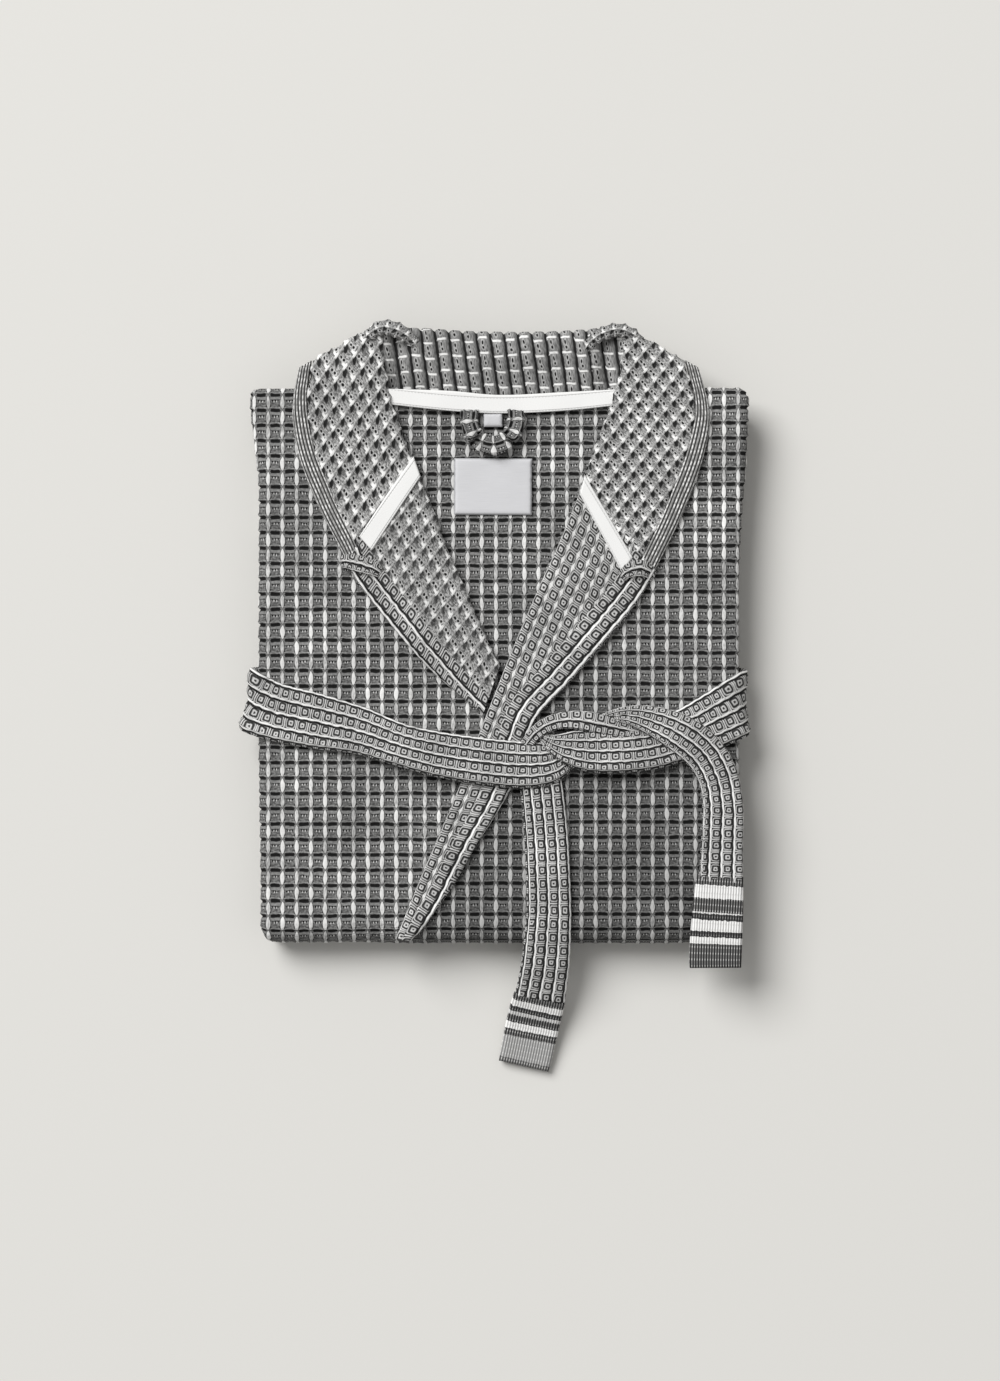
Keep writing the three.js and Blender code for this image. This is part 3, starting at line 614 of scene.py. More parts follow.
roll_slope = 0.4037
for word, side, top in (("left", -1, top_left), ("right", 1, top_right)):
    seam_under = -87 * side

    def x_inner_at(share, side=side, seam_under=seam_under):
        return -92 + (seam_under + 92 - (8 if side < 0 else 0)) * smooth_step(share, 0.44, 0.5)

    rows = ([0, 0.64, 1], [0.0, 0.52, 1.0])
    edge_at = (lambda y, side=side: side_edge_at(y, side))
    place, length = fold_place(side, top, 1.9, 6.2, 6.2, edge_at, 60, x_inner_at, rows)
    cloth = woven_piece(
        f"front_{word}", 176, 440, place, deep_relief, body_waffle if side < 0 else right_waffle_shaded
    )
    outward = Vector((-side, roll_slope, 0)).normalized()
    trim(cloth, (side * (88 + 8), 216, 0), outward, above=21)
    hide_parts(f"front_panel_{word}")
    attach(cloth, "robe")

rows = ([0, 0.08, 0.5, 1], [0.0, 0.07, 0.30, 1.0])
place, length = fold_place(
    1, top_back, 4.9, 2.6, 3.2, lambda y: 180 + 0 * y, 60, lambda share: -180 + 0 * share, rows
)
back_cloth = woven_piece("back", 200, 300, place, deep_relief, body_waffle)
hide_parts("back_panel")
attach(back_cloth, "robe")

# ---------------------------------------------------------------------------------- sleeves
# Both sleeves are folded flat behind the body, each with a turned-up cuff of the same cloth.


def stadium(width, thick):
    """Half of a flattened tube's section after the other, as points at equal steps round it."""
    r = thick / 2
    flat = width / 2 - r
    top = np.column_stack([np.linspace(-flat, flat, 60), np.full(60, r)])
    right = arc((flat, 0), r, math.pi / 2, -math.pi / 2, 24)
    bottom = np.column_stack([np.linspace(flat, -flat, 60), np.full(60, -r)])
    left = arc((-flat, 0), r, -math.pi / 2, -3 * math.pi / 2, 24)
    line = np.vstack([top, right[1:], bottom[1:], left[1:]])
    run = np.concatenate([[0], np.cumsum(np.hypot(*np.diff(line, axis=0).T))])
    return run, line[:, 0], line[:, 1]


def flat_tube(name, node, relief, material, step=3.5, swell=0.4):
    """A tube of cloth pressed flat inside a CAD box, open at its two ends."""
    low, high = (np.array(corner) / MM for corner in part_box(node))
    middle, size = (low + high) / 2, high - low
    run, across, up = stadium(size[0], size[2])

    def place(a, b):
        q = a * run[-1]
        x, z = np.interp(q, run, across), np.interp(q, run, up)
        y = (b - 0.5) * size[1]
        z = z * (1 + 0.12 * ripple(x, y, 60, swell))
        points = np.column_stack([middle[0] + x, middle[1] + y, middle[2] + z])
        return points, np.column_stack([q / CELL[0], y / CELL[1]])

    piece = woven_piece(
        name, int(run[-1] / step), max(int(size[1] / step), 4), place, relief, material, closed=True
    )
    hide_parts(node)
    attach(piece, "robe")
    return piece, size


def shallow_relief(cells):
    return deep_relief(cells, 0.5)


for word in ("left", "right"):
    piece, size = flat_tube(f"sleeve_{word}", f"sleeve_{word}", shallow_relief, body_waffle)
    piece, size = flat_tube(f"cuff_{word}", f"sleeve_cuff_{word}", shallow_relief, body_waffle)

# ---------------------------------------------------------------------------------- collar and lapels
# A turned collar with an edge of striped waffle, and lapels below it whose front edge is a band
# two cells wide. Every piece is a strip between the roll line and the outer edge.


def through(points, steps=24):
    """A smooth line through the given points."""
    p = np.array(points, float)
    p = np.vstack([2 * p[0] - p[1], p, 2 * p[-1] - p[-2]])
    t = np.linspace(0, 1, steps, endpoint=False)[:, None]
    out = []
    for i in range(1, len(p) - 2):
        a, b, c, d = p[i - 1], p[i], p[i + 1], p[i + 2]
        square, cube = 2 * a - 5 * b + 4 * c - d, 3 * b - a - 3 * c + d
        out.append(0.5 * (2 * b + (c - a) * t + square * t**2 + cube * t**3))
    out.append(p[-2][None])
    return np.vstack(out)


def strip(name, rungs, top, weave, relief, material, side=1, inset=(0, 0), round_in=3.7, round_out=2.2,
          turn_out=math.pi / 2, face=1.45, lift=None, ends=(0, 0), tuck=0):
    """A strip of cloth between two edges. `inset` leaves out a width beside each edge, and the
    edges are rounded down by the two radii. `ends` turns each end down by the given radius, and
    the first end then runs back underneath for a length of `tuck`."""
    line = through(rungs)
    roll, outer = line[:, :2], line[:, 2:4]
    way = outer - roll
    way /= np.linalg.norm(way, axis=1)[:, None]
    roll, outer = roll + way * inset[0], outer - way * inset[1]
    middle = (roll + outer) / 2
    run = np.concatenate([[0], np.cumsum(np.linalg.norm(np.diff(middle, axis=0), axis=1))])
    wide = np.linalg.norm(outer - roll, axis=1)
    long = run[-1] + sum(ends) * (math.pi - 1) + tuck

    def place(a, b):
        a = a if side < 0 else 1 - a
        q_end = b * long
        s = q_end - ends[0] * (math.pi - 1) - tuck
        start_turn = np.clip((ends[0] - s) / max(ends[0], 1e-6), 0, math.pi) if ends[0] else 0 * s
        finish_turn = np.clip(
            (s - (run[-1] - ends[1])) / max(ends[1], 1e-6), 0, math.pi
        ) if ends[1] else 0 * s
        beneath = np.maximum(ends[0] * (1 - math.pi) - s, 0)
        at = np.where(start_turn > 0, ends[0] * (1 - np.sin(start_turn)) + beneath, s)
        at = np.where(finish_turn > 0, run[-1] - ends[1] * (1 - np.sin(finish_turn)), at)
        drop = ends[0] * (1 - np.cos(start_turn)) + ends[1] * (1 - np.cos(finish_turn))
        at = np.clip(at, 0, run[-1])
        w = np.interp(at, run, wide)
        total = math.pi * round_in + (w - round_in - round_out) + turn_out * round_out
        q = a * total
        in_turn = np.clip(q / round_in, 0, math.pi) if round_in else q * 0 + math.pi
        flat = np.clip(q - math.pi * round_in, 0, w - round_in - round_out)
        out_turn = np.clip((q - math.pi * round_in - (w - round_in - round_out)) / round_out, 0, turn_out)
        offset = round_in * (1 - np.sin(in_turn)) + flat + round_out * np.sin(out_turn)
        z = top - round_in * (1 + np.cos(in_turn)) - round_out * (1 - np.cos(out_turn)) - drop
        base = np.column_stack([np.interp(at, run, roll[:, 0]), np.interp(at, run, roll[:, 1])])
        along = np.column_stack([np.interp(at, run, way[:, 0]), np.interp(at, run, way[:, 1])])
        along /= np.linalg.norm(along, axis=1)[:, None]
        xy = base + along * offset[:, None]
        unrolled = base + along * (q - math.pi * round_in / 2)[:, None]
        if lift is not None:
            z = z + lift(xy[:, 0], xy[:, 1], offset / w, at / run[-1])
        z = z + ripple(xy[:, 0], xy[:, 1], 34, 0.9)
        return np.column_stack([xy, z]), weave(unrolled[:, 0], unrolled[:, 1], q - math.pi * round_in / 2, s)

    across = max(int((math.pi * round_in + wide.max()) / face), 4)
    piece = woven_piece(name, across, max(int(long / face), 4), place, relief, material)
    return piece, float(wide.mean() * MM), float(run[-1] * MM)


def slanted(angle_u, pitch_u, angle_v, pitch_v):
    u, v = math.radians(angle_u), math.radians(angle_v)

    def weave(x, y, q, s):
        return np.column_stack([
            (x * math.cos(u) + y * math.sin(u)) / pitch_u,
            (x * math.cos(v) + y * math.sin(v)) / pitch_v,
        ])

    return weave


def lengthwise(pitch_across, pitch_along, shift=0.0):
    def weave(x, y, q, s):
        return np.column_stack([s / pitch_along, q / pitch_across + shift])

    return weave


left_rungs = (
    (-92, 275, -157, 238), (-89.5, 247, -162, 205), (-85, 219, -157, 168), (-77, 191, -142, 128),
    (-66, 164, -121, 88), (-57, 141, -110, 66), (-43, 105, -88, 38), (-29, 70, -64, 10),
    (-13, 35, -38, -16), (3, 0, -10, -38),
)
right_rungs = (
    (101, 271, 161, 238), (100, 240, 170, 200), (91, 206, 164, 163), (80, 175, 149, 122),
    (69, 143, 129, 81), (52, 100, 112, 50), (33, 58, 86, 18), (15, 16, 58, -14), (0, -22, 32, -42),
    (-14, -58, 18, -76), (-29, -98, 8, -104), (-45, -136, -16, -144), (-58, -166, -36, -178),
    (-69, -193, -54, -203), (-79, -218, -68, -219),
)


def part_of(rungs, first, last):
    """The rungs between two places, counted in rungs."""
    line = through(rungs)
    steps = np.linspace(first, last, max(int((last - first) * 3) + 1, 3))
    spread = np.arange(len(line)) / 24
    return np.column_stack([np.interp(steps, spread, line[:, k]) for k in range(4)])


band_widths = {
    -1: ((4.0, 5.2, 6.5, 7.8, 9.0), (23, 24, 23, 20, 14)),
    1: ((4.0, 5.3, 6.5, 7.8, 9.0, 10.2, 11.5, 12.8, 14.0), (23, 25, 25, 24, 23, 20, 17, 12, 7)),
}


def cut_along(rungs, first, last, side, keep_band):
    """Either the band along the outer edge or what lies between it and the roll line."""
    line = part_of(rungs, first, last)
    way = line[:, 2:4] - line[:, :2]
    way /= np.linalg.norm(way, axis=1)[:, None]
    width = np.interp(np.linspace(first, last, len(line)), *band_widths[side])[:, None]
    seam = line[:, 2:4] - way * width
    if keep_band:
        return np.column_stack([seam, line[:, 2:4]])
    return np.column_stack([line[:, :2], seam + way * 1.2])


striped_band, tree, shader = cotton("striped_band")
place_mm = tree.nodes.new("ShaderNodeUVMap")
place_mm.uv_map = "cells"
split = tree.nodes.new("ShaderNodeSeparateXYZ")
tree.links.new(place_mm.outputs["UV"], split.inputs[0])
row_wave = calc(tree, "COSINE", calc(tree, "MULTIPLY", split.outputs[1], 2 * math.pi))
row_number = calc(tree, "FLOOR", calc(tree, "ADD", split.outputs[1], 0.5))
offset_dots = calc(tree, "MULTIPLY_ADD", row_number, 0.37, split.outputs[0])
dot_wave = calc(tree, "COSINE", calc(tree, "MULTIPLY", offset_dots, 2 * math.pi * 1.0))
row_noise = speckle(tree, stretched(tree, place_mm.outputs["UV"], (0.35, 1.0, 1)), 1.3, 2.0)
white_row = calc(
    tree, "MULTIPLY", fade(tree, row_wave, 0.05, 0.7), fade(tree, dot_wave, -0.95, 0.2, 0.3, 1.0)
)
white_row = calc(tree, "MULTIPLY", white_row, fade(tree, row_noise, 0.40, 0.56, 0.2, 1.0))
grey_row = blend_colour(
    tree, fade(tree, row_wave, -0.95, -0.3), (0.012, 0.012, 0.012, 1), (0.22, 0.218, 0.212, 1)
)
tree.links.new(blend_colour(tree, white_row, grey_row, (0.90, 0.895, 0.88, 1)), shader.inputs["Base Color"])
raised(tree, shader, calc(tree, "MULTIPLY_ADD", row_wave, 0.5, calc(tree, "MULTIPLY", dot_wave, 0.25)), 0.5)


def cord_relief(cells):
    return 0.35 * np.cos(2 * np.pi * cells[:, 1])


left_top, right_top = 43.0, 46.0


def low_diamonds(cells):
    return diamond_relief(cells, 1.3)


seam_place = 4.25
pieces_of_collar = (
    ("left", -1, left_rungs, left_top, slanted(35, 11.9, 144, 10.8), slanted(32, 11.4, 141, 10.4)),
    ("right", 1, right_rungs, right_top, slanted(44, 10.4, 141, 10.6), lengthwise(10.0, 10.6)),
)
for word, side, rungs, top, collar_weave, lapel_weave in pieces_of_collar:
    last = len(rungs) - 1
    collar, wide, long = strip(
        f"collar_{word}", part_of(rungs, 0, 4.15), top, collar_weave, diamond_relief, collar_waffle,
        side=side, inset=(0, 13), ends=(7.5, 0), round_out=3.0, tuck=26,
    )
    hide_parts(f"collar_{word}")
    lapel, lapel_wide, lapel_long = strip(
        f"lapel_{word}", cut_along(rungs, 4.0, last, side, False), top, lapel_weave,
        low_diamonds if side < 0 else flat_relief, bias_lapel if side < 0 else lapel_waffle,
        side=side, round_out=2.0,
    )
    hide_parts(f"lapel_{word}")
    for piece, w, l in ((collar, wide, long), (lapel, lapel_wide, lapel_long)):
        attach(piece, "robe")


def edge_rungs(rungs, first, last, width_at):
    """Rungs of the band along the outer edge: from its inner seam to the edge."""
    line = part_of(rungs, first, last)
    way = line[:, 2:4] - line[:, :2]
    way /= np.linalg.norm(way, axis=1)[:, None]
    width = np.interp(np.linspace(0, 1, len(line)), np.linspace(0, 1, len(width_at)), width_at)
    return np.column_stack([line[:, 2:4] - way * width[:, None], line[:, 2:4]])


for word, side, rungs, top in (("left", -1, left_rungs, left_top), ("right", 1, right_rungs, right_top)):
    band, wide, long = strip(
        f"collar_band_{word}", edge_rungs(rungs, 0, seam_place, (11, 13.5, 15, 14)), top + 0.5,
        lengthwise(2.8, 4.6, 0.35), cord_relief, striped_band, side=side, round_in=2.0, round_out=2.8,
        turn_out=math.pi * 0.8, ends=(6.5, 2), face=0.85, tuck=20,
    )
    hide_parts(f"collar_band_{word}")
    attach(band, "robe")
    front_band, wide, long = strip(
        f"front_band_{word}", cut_along(rungs, seam_place - 0.15, len(rungs) - 1, side, True), top + 0.7,
        lengthwise(11.6, 11.2, 0.0), flat_relief, facing_waffle, side=side, round_in=2.2, round_out=3.0,
        turn_out=math.pi * 0.8, ends=(4, 0),
    )
    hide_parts(f"front_band_{word}")
    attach(front_band, "robe")

# ---------------------------------------------------------------------------------- back of the collar
# The same collar stands up across the back of the neck and turns over along its upper edge.
back_rungs = (
    (-112, 205, -104, 262), (-92, 206, -86, 270), (-66, 208, -62, 269), (-30, 206, -28, 266.5),
    (10, 205, 10, 265.5), (46, 206, 45, 266), (78, 208, 76, 268), (98, 208, 96, 271), (118, 205, 112, 262),
)


def pillows(x, y, q, s):
    column = (x + 0.14 * y) / 11.0
    return np.column_stack([column, (y - 0.02 * x) / 12.4 + 0.16 * np.sin(np.floor(column) * 2.3)])


def pillow_relief(cells, depth=2.1):
    u, v = cells[:, 0] % 1, cells[:, 1] % 1
    side, foot = np.minimum(u, 1 - u), np.minimum(v, 1 - v)
    return depth * (0.45 - 1.1 * np.exp(-((side / 0.13) ** 2)) - 0.35 * np.exp(-((foot / 0.12) ** 2)))


def rise_to_top(x, y, across, along):
    under_rolls = np.exp(-(((x + 80) / 8) ** 2)) + np.exp(-(((x - 87) / 7) ** 2))
    return 5.0 * smooth_step(across, 0.12, 0.75) - 6 * under_rolls


pillow_waffle = waffle("pillow_waffle", waffle_pillow)
collar_back, wide, long = strip(
    "collar_back", back_rungs, 36.6, pillows, pillow_relief, pillow_waffle, side=1,
    round_in=1.0, round_out=5.5, turn_out=math.pi, lift=rise_to_top,
)
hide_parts("collar_back")
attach(collar_back, "robe")

# ---------------------------------------------------------------------------------- tapes
# White tape covers the neck seam and the two seams between collar and lapel. It is stitched
# along both edges.
white_tape, tree, shader = cotton("white_tape")
place_mm = tree.nodes.new("ShaderNodeUVMap")
place_mm.uv_map = "cells"
split = tree.nodes.new("ShaderNodeSeparateXYZ")
tree.links.new(place_mm.outputs["UV"], split.inputs[0])
edge_near = calc(tree, "MINIMUM", split.outputs[1], calc(tree, "SUBTRACT", 1.0, split.outputs[1]))
stitch_row = fade(
    tree, calc(tree, "ABSOLUTE", calc(tree, "SUBTRACT", edge_near, 0.12)), 0.015, 0.045, 1.0, 0.0
)
stitch_gap = fade(
    tree, calc(tree, "SINE", calc(tree, "MULTIPLY", split.outputs[0], 2 * math.pi / 2.6)), -0.5, 0.3
)
stitches = calc(tree, "MULTIPLY", stitch_row, stitch_gap)
tape_weave = speckle(tree, stretched(tree, place_mm.outputs["UV"], (1.2, 30, 1)), 1.0, 2.0)
tape_colour = blend_colour(tree, tape_weave, (0.74, 0.737, 0.725, 1), (0.96, 0.957, 0.945, 1))
tree.links.new(
    blend_colour(tree, calc(tree, "MULTIPLY", stitches, 0.35), tape_colour, (0.45, 0.447, 0.44, 1)),
    shader.inputs["Base Color"]
)
raised(
    tree, shader, calc(tree, "MULTIPLY_ADD", tape_weave, 0.25, calc(tree, "MULTIPLY", stitch_row, -1.0)),
    0.5
)


def tape(name, node, rungs, top, side, flatness=0.5):
    line = through(rungs)
    width = float(np.linalg.norm(line[:, 2:4] - line[:, :2], axis=1).mean())

    def weave(x, y, q, s):
        return np.column_stack([s, np.clip(q / width, 0, 1)])

    piece, wide, long = strip(
        name, rungs, top, weave, calm, white_tape, side=side, round_in=1.0, round_out=1.0,
        face=0.8, ends=(1.5, 1.5), turn_out=math.pi / 2,
    )
    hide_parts(node)
    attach(piece, "robe")


tape("neck_tape", "neck_tape", (
    (-90, 208.5, -91, 221.5), (-80, 207.6, -82, 220.6), (-37, 203, -37, 219), (3, 201, 3, 215.8),
    (50, 202.8, 50, 217.8), (91, 206.8, 94, 220.2), (101, 208.4, 103, 221.4),
), 39.9, 1)
tape("contrast_tape_left", "contrast_tape_left", (
    (-60, 150.5, -65.6, 166.5), (-79, 122, -87, 136), (-99, 91.5, -109, 102.5),
), left_top + 2.0, -1)
tape("contrast_tape_right", "contrast_tape_right", (
    (66.6, 136, 70.6, 151.5), (83, 106, 89.5, 119), (100, 74.5, 109, 85.5),
), right_top + 2.0, 1)

# ---------------------------------------------------------------------------------- labels and loop
# A satin label sewn to the back with a border of stitches, a small size label at the neck tape,
# and a loop of the robe's own cloth to hang it by. No label carries any lettering.
satin, tree, shader = cotton("label_satin")
shader.inputs["Roughness"].default_value = 0.42
shader.inputs["Specular IOR Level"].default_value = 0.3
place_mm = tree.nodes.new("ShaderNodeUVMap")
place_mm.uv_map = "cells"
split = tree.nodes.new("ShaderNodeSeparateXYZ")
tree.links.new(place_mm.outputs["UV"], split.inputs[0])
reach_x = calc(tree, "ABSOLUTE", split.outputs[0])
reach_y = calc(tree, "ABSOLUTE", split.outputs[1])
border = calc(tree, "MINIMUM", calc(tree, "SUBTRACT", 1.0, reach_x), calc(tree, "SUBTRACT", 1.0, reach_y))
border_mask = fade(tree, border, 0.0, 0.06, 1.0, 0.0)
satin_threads = speckle(tree, stretched(tree, place_mm.outputs["UV"], (2, 90, 1)), 1.0, 2.0)
satin_colour = blend_colour(tree, satin_threads, (0.56, 0.56, 0.575, 1), (0.70, 0.70, 0.715, 1))
tree.links.new(
    blend_colour(tree, border_mask, satin_colour, (0.40, 0.40, 0.41, 1)), shader.inputs["Base Color"]
)
raised(tree, shader, calc(tree, "MULTIPLY_ADD", border_mask, -0.8, satin_threads), 0.15)


def label(name, node, top, tilt=0.0):
    low, high = (np.array(corner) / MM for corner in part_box(node))
    middle, size = (low + high) / 2, high - low

    def place(a, b):
        x, y = (a - 0.5) * size[0], (b - 0.5) * size[1]
        near = np.minimum(np.minimum(a, 1 - a) * size[0], np.minimum(b, 1 - b) * size[1])
        z = top - 1.6 * np.exp(-near / 0.9) + ripple(x, y, 26, 0.6)
        edge_x = 0.35 * ripple(y, y * 0 + a.round(), 4, 1.0)
        return (
            np.column_stack([middle[0] + x + tilt * y + edge_x, middle[1] + y - tilt * x, z]),
            np.column_stack([a * 2 - 1, b * 2 - 1]),
        )

    piece = woven_piece(name, int(size[0] / 0.8), int(size[1] / 0.8), place, calm, satin)
    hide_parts(node)
    return piece


brand_label = label("brand_label", "brand_label", 38.0, 0.005)
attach(brand_label, "robe")
size_label = label("size_label", "size_label", 39.0)
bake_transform(size_label)


def strand(name, stations, rows, pitch, part=(0, 1), thick=6.0, crease=0.0, relief=flat_relief,
           material=facing_waffle, face=1.35, belly=0.0, mm_weave=False):
    """A flattened tube of cloth along a line. Each station is x, y, z, width and the bearing of
    its side; `rows` is how many cells lie across its upper face. Gives the piece, the mean girth of
    its smooth section and its length along the line, which together are its cloth laid flat."""
    line = through(stations)
    run = np.concatenate([[0], np.cumsum(np.linalg.norm(np.diff(line[:, :3], axis=0), axis=1))])
    reference = 36.0
    section_run, section_x, section_z = stadium(reference, thick)
    middle_at = np.interp(0, section_x[:60], section_run[:60])

    def place(a, b):
        s = (part[0] + (part[1] - part[0]) * (1 - b)) * run[-1]
        q = a * section_run[-1]
        v = np.interp(q, section_run, section_x)
        w = np.interp(q, section_run, section_z)
        at = [np.interp(s, run, line[:, k]) for k in range(5)]
        ahead, behind = np.clip(s + 1, 0, run[-1]), np.clip(s - 1, 0, run[-1])
        tangent = np.column_stack([
            np.interp(ahead, run, line[:, k]) - np.interp(behind, run, line[:, k]) for k in range(3)
        ])
        tangent /= np.linalg.norm(tangent, axis=1)[:, None]
        bearing = np.radians(at[4])
        side = np.column_stack([np.sin(bearing), np.cos(bearing), 0 * bearing])
        side -= tangent * np.sum(side * tangent, axis=1)[:, None]
        side /= np.linalg.norm(side, axis=1)[:, None]
        normal = np.cross(tangent, side)
        share = v / (reference / 2)
        from_end = np.minimum(s, run[-1] - s)
        w = w * np.sqrt(1 - (1 - np.clip(from_end / 2.5, 0.0, 1)) ** 2)
        lift = w - crease * np.exp(-((share - 0.06) / 0.09) ** 2) * (w > 0) + belly * (1 - share**2) * (w > 0)
        points = np.column_stack(at[:3]) + side * (share * at[3] / 2)[:, None] + normal * lift[:, None]
        if mm_weave:
            cells = np.column_stack([share * at[3] / 2, s - part[0] * run[-1]])
        else:
            cells = np.column_stack([s / pitch, (q - middle_at) / (reference / rows)])
        return points, cells

    long = (part[1] - part[0]) * run[-1]
    around = int(section_run[-1] / face)
    piece = woven_piece(name, around, max(int(long / face), 4), place, relief, material, closed=True)
    widths = np.interp(np.linspace(part[0], part[1], 60) * run[-1], run, line[:, 3])
    steps_x, steps_z = np.diff(section_x), np.diff(section_z)
    girth = float(np.mean([np.hypot(steps_x * w / reference, steps_z).sum() for w in widths]))
    return piece, girth, long


def crumpled(cells):
    lumps = np.array([noise.noise(Vector((u * 1.3, v * 1.3, 4.0))) for u, v in cells])
    return deep_relief(cells, 1.1) + 1.3 * lumps


for word, stations in (
    ("left", (
        (-104, 258, 38, 7, 10), (-99, 265, 42.5, 9, -20), (-90, 269.5, 45, 11, 0), (-78, 267, 45, 12, 24),
        (-68, 260.5, 42, 10, 38), (-62, 252, 37, 7, 50),
    )),
    ("right", (
        (70, 250, 37, 7, -50), (76, 258.5, 42, 9, -40), (85, 264.5, 45, 10, -24), (97, 267.5, 45.5, 10, -4),
        (108, 264.5, 43, 9, 20), (115, 258, 38, 7, 34),
    )),
):
    roll, girth, long = strand(
        f"collar_roll_{word}", stations, 1.3, 8.0, thick=7.0, material=collar_waffle,
        relief=diamond_relief, face=1.1
    )
    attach(roll, "robe")

for word, stations in (
    (
        "left",
        (
            (-123, 83, 38, 7, -10), (-117, 83, 43, 11, 0), (-107, 80.5, 45, 12, 8),
            (-97, 77, 44.5, 10, 20), (-92, 73, 41, 6, 30)
        )
    ),
    (
        "right",
        (
            (100, 70, 43, 6, -40), (105, 75, 47.5, 10, -24), (113, 77.5, 48.5, 12, 0),
            (120, 76, 46, 11, 20), (125, 71, 40, 7, 40)
        )
    ),
):
    lump, girth, long = strand(f"band_end_{word}", stations, 1.2, 7.0, thick=5.5, face=1.0)
    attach(lump, "robe")

loop, girth, long = strand("hanging_loop", (
    (-21, 204, 39.5, 14, -90), (-21, 192, 41, 14.5, -90), (-16, 181, 42.5, 15, -45), (-3, 175.5, 43, 15, 0),
    (9.5, 180.5, 42.5, 15, 45), (15.5, 191, 41, 14.5, 90), (15.5, 204, 39.5, 14, 90),
), 1.5, 10.0, relief=crumpled, material=body_waffle, thick=6.0, face=1.2)
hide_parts("hanging_loop")
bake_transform(loop)

# ---------------------------------------------------------------------------------- belt
# A flat tube of the lighter waffle, four cells wide. It comes round both sides, is tied once over
# the front edge, and hangs down in a long and a short tail with striped ends.
left_strap, girth, long = strand("belt_strap_left", (
    (-120, -24, 14.5, 44, 2), (-160, -24, 14.5, 46, 2), (-184, -25, 17, 47, 2), (-195, -26, 24, 48, 2),
    (-196, -27, 33, 48, 6), (-190, -32, 39.5, 47, 14), (-173, -38, 41.5, 45, 16), (-141, -45, 42.5, 43, 14),
    (-109, -52, 45, 37, 15), (-77, -63, 48, 33, 16), (-45, -71, 50, 35, 12), (-13, -76, 51, 36, 6),
    (19, -79, 50, 36, 2), (40, -78, 48, 33, -6), (54, -73, 46, 24, -16), (64, -69, 44, 12, -22),
), 4, 9.4, crease=1.6)
right_strap, girth_right, long_right = strand("belt_strap_right", (
    (36, -57, 48, 5, 20), (45, -62, 50.5, 14, 12), (59, -66, 52, 27, 4), (83, -68, 51.5, 35, 0), (
        123, -65, 48.5, 35, -10
    ),
    (155, -53, 46, 40, -20), (176, -43, 44, 44, -26), (189, -36, 40.5, 47, -16), (195.5, -31, 32, 50, -4),
    (195.5, -28, 23, 50, 0), (185, -25, 17, 48, 0), (160, -24, 14.5, 46, 0), (120, -24, 14.5, 44, 0),
), 4, 9.4, crease=0.5, belly=1.2)
knot_turn, girth_turn, long_turn = strand("belt_knot_turn", (
    (14, -72, 46, 8, -60), (23, -64, 48.5, 10, -52), (30, -55, 50.5, 11, -40), (
        40, -47.5, 52.5, 12, -26
    ), (53, -43.5, 54, 13, -8),
    (67, -43.5, 54, 15, 4), (
        83, -46.5, 53.5, 16, 12
    ), (99, -50, 52, 13, 12), (114, -53, 49.5, 9, 10), (124, -56, 47, 6, 10),
), 1.6, 9.4, thick=5.5)
short_line = (
    (78, -44, 50, 4, -10), (90, -41, 52, 8, 0), (
        105, -39.5, 53.5, 14, 12
    ), (124, -44, 54, 23, 24), (146, -54, 53, 30, 38),
    (165, -69, 51, 32, 56), (176, -88, 48.5, 32, 74), (180, -108, 46.5, 32, 86), (
        180.5, -124, 45.3, 33, 90
    ), (180, -140, 44.8, 33, 90),
    (179.5, -156, 44.6, 34, 90), (179, -174, 44.5, 35, 90),
)
bridge_share = 0.60
bridge, girth_bridge, long_bridge = strand(
    "belt_bridge", short_line, 3.5, 9.4, part=(0, bridge_share), crease=0.6
)
short_tail, girth_short, long_short = strand(
    "belt_tail_short", short_line, 3.5, 9.4, part=(bridge_share, 1), crease=0.6
)
long_tail, girth_long, long_long = strand("belt_tail_long", (
    (34, -84, 43.5, 32, 90), (36.4, -99.6, 44, 33, 90), (40, -139.6, 44, 34, 90), (42, -187.6, 44, 34.4, 90),
    (
        41.2, -211.6, 42.5, 36, 90
    ), (39.6, -235.6, 34, 37.6, 92), (37.8, -250, 27, 38.5, 94), (35, -268, 19, 40, 97),
), 4, 10.6, crease=0.4)

for piece, node, w, l in (
    (left_strap, "belt_strap_left", girth, long), (right_strap, "belt_strap_right", girth_right, long_right),
    (knot_turn, "belt_knot_turn", girth_turn, long_turn), (bridge, "belt_bridge", girth_bridge, long_bridge),
    (
        short_tail, "belt_tail_short", girth_short, long_short
    ), (long_tail, "belt_tail_long", girth_long, long_long),
):
    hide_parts(node)
for piece in (left_strap, right_strap, knot_turn, bridge):
    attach(piece, "robe")



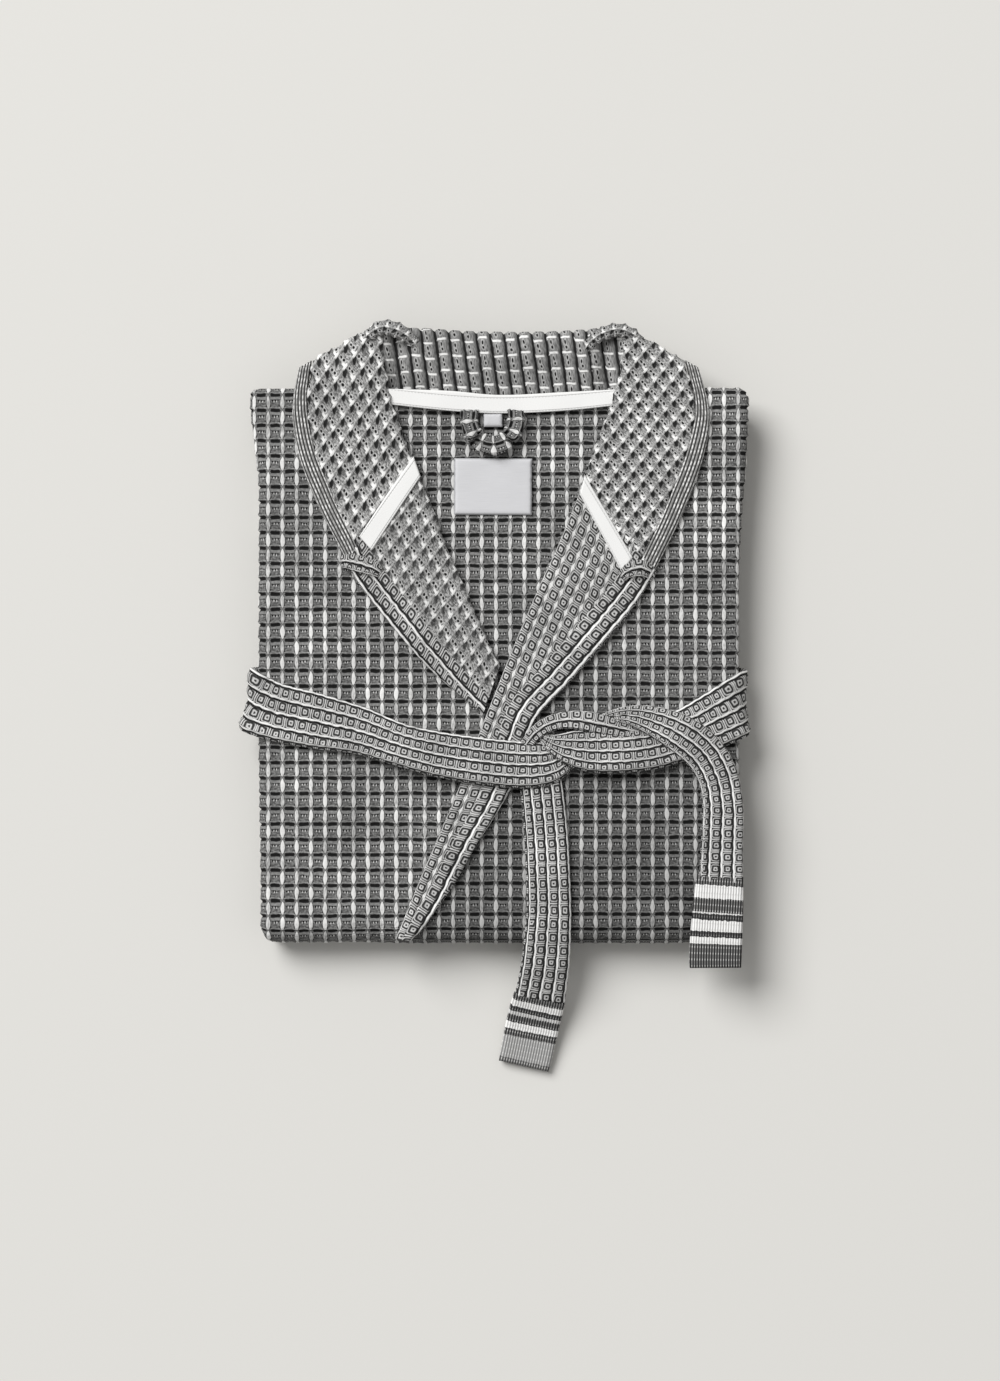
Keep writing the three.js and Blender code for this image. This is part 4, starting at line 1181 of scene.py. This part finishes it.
def stripe_material(name, long, stripes):
    """Bands across a belt end. Each stripe is where it starts, how pale it is and how ribbed."""
    material, tree, shader = cotton(name)
    place_mm = tree.nodes.new("ShaderNodeUVMap")
    place_mm.uv_map = "cells"
    split = tree.nodes.new("ShaderNodeSeparateXYZ")
    tree.links.new(place_mm.outputs["UV"], split.inputs[0])
    ramp = tree.nodes.new("ShaderNodeValToRGB")
    ramp.color_ramp.interpolation = "CONSTANT"
    marks = ramp.color_ramp.elements
    while len(marks) > 1:
        marks.remove(marks[-1])
    marks[0].position = 0
    marks[0].color = (stripes[0][1], stripes[0][2], 0, 1)
    for begin, pale, ribbed in stripes[1:]:
        mark = marks.new(begin / long)
        mark.color = (pale, ribbed, 0, 1)
    jitter = calc(tree, "MULTIPLY_ADD", speckle(tree, place_mm.outputs["UV"], 0.4, 2.0), 2.4, -1.2)
    tree.links.new(
        calc(tree, "DIVIDE", calc(tree, "ADD", split.outputs[1], jitter), long), ramp.inputs["Fac"]
    )
    kinds = tree.nodes.new("ShaderNodeSeparateColor")
    tree.links.new(ramp.outputs["Color"], kinds.inputs[0])
    rib = calc(tree, "COSINE", calc(tree, "MULTIPLY", split.outputs[0], 2 * math.pi / 2.1))
    row = calc(tree, "COSINE", calc(tree, "MULTIPLY", split.outputs[1], 2 * math.pi / 4.8))
    knots = calc(tree, "MULTIPLY", fade(tree, rib, 0.2, 0.8), fade(tree, row, 0.3, 0.9))
    dark = blend_colour(
        tree, calc(tree, "MULTIPLY", fade(tree, rib, -0.6, 0.8), kinds.outputs[1]), (0.02, 0.02, 0.021, 1),
        (0.20, 0.198, 0.193, 1)
    )
    dark = blend_colour(
        tree, calc(tree, "MULTIPLY", calc(tree, "MULTIPLY", knots, kinds.outputs[1]), 0.7), dark,
        (0.75, 0.745, 0.73, 1)
    )
    pale = blend_colour(tree, fade(tree, rib, -0.9, -0.2), (0.45, 0.447, 0.44, 1), (0.93, 0.925, 0.91, 1))
    tree.links.new(blend_colour(tree, kinds.outputs[0], dark, pale), shader.inputs["Base Color"])
    bumps = calc(tree, "MULTIPLY_ADD", rib, 0.35, calc(tree, "MULTIPLY", knots, 0.4))
    raised(tree, shader, calc(tree, "ADD", bumps, calc(tree, "MULTIPLY", kinds.outputs[0], 0.5)), 0.6)
    return material


short_stripes = (
    (0, 0, 1), (8, 1, 0), (18.6, 0, 1), (
        29.6, 0.85, 0
    ), (31.2, 0, 0.4), (35.8, 1, 0), (44.8, 0, 0.4), (49.4, 1, 0), (54.6, 0, 1),
)
long_stripes = (
    (0, 0, 1), (5.4, 1, 0), (11.4, 0, 0.5), (16, 0.7, 0), (19.2, 0, 0.8), (25.4, 1, 0), (31.4, 0, 1),
    (37, 0.4, 1), (56, 0.1, 1)
)
short_end, girth_end, long_end = strand("belt_end_short", (
    (178.5, -167, 44.6, 37, 90), (177, -190, 44.6, 40, 90), (
        175.6, -212, 44.6, 41.5, 90
    ), (174.8, -232, 44, 42, 90), (174.8, -241, 43.3, 41, 90),
), 4, 9.4, relief=calm, material=stripe_material("short_stripes", 72, short_stripes),
    mm_weave=True, thick=6.6, face=1.2)
end_long, girth_tip, long_tip = strand("belt_end_long", (
    (35, -266, 20, 42, 97), (31.5, -280, 13.5, 43, 99), (28, -296, 9, 43, 100), (
        24.8, -311.6, 6.5, 42.4, 100
    ), (22.2, -323, 5, 41, 100),
), 4, 9.4, relief=calm, material=stripe_material("long_stripes", 60, long_stripes),
    mm_weave=True, thick=6.6, face=1.2)
for piece, node, body, w, l in (
    (
        short_end, "belt_end_short", "tail_short", girth_end, long_end
    ), (end_long, "belt_end_long", "tail_long", girth_tip, long_tip),
):
    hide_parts(node)
    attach(piece, body)
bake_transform(short_tail)
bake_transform(long_tail)

belt_back, size = flat_tube("belt_back", "belt_back", shallow_relief, facing_waffle)
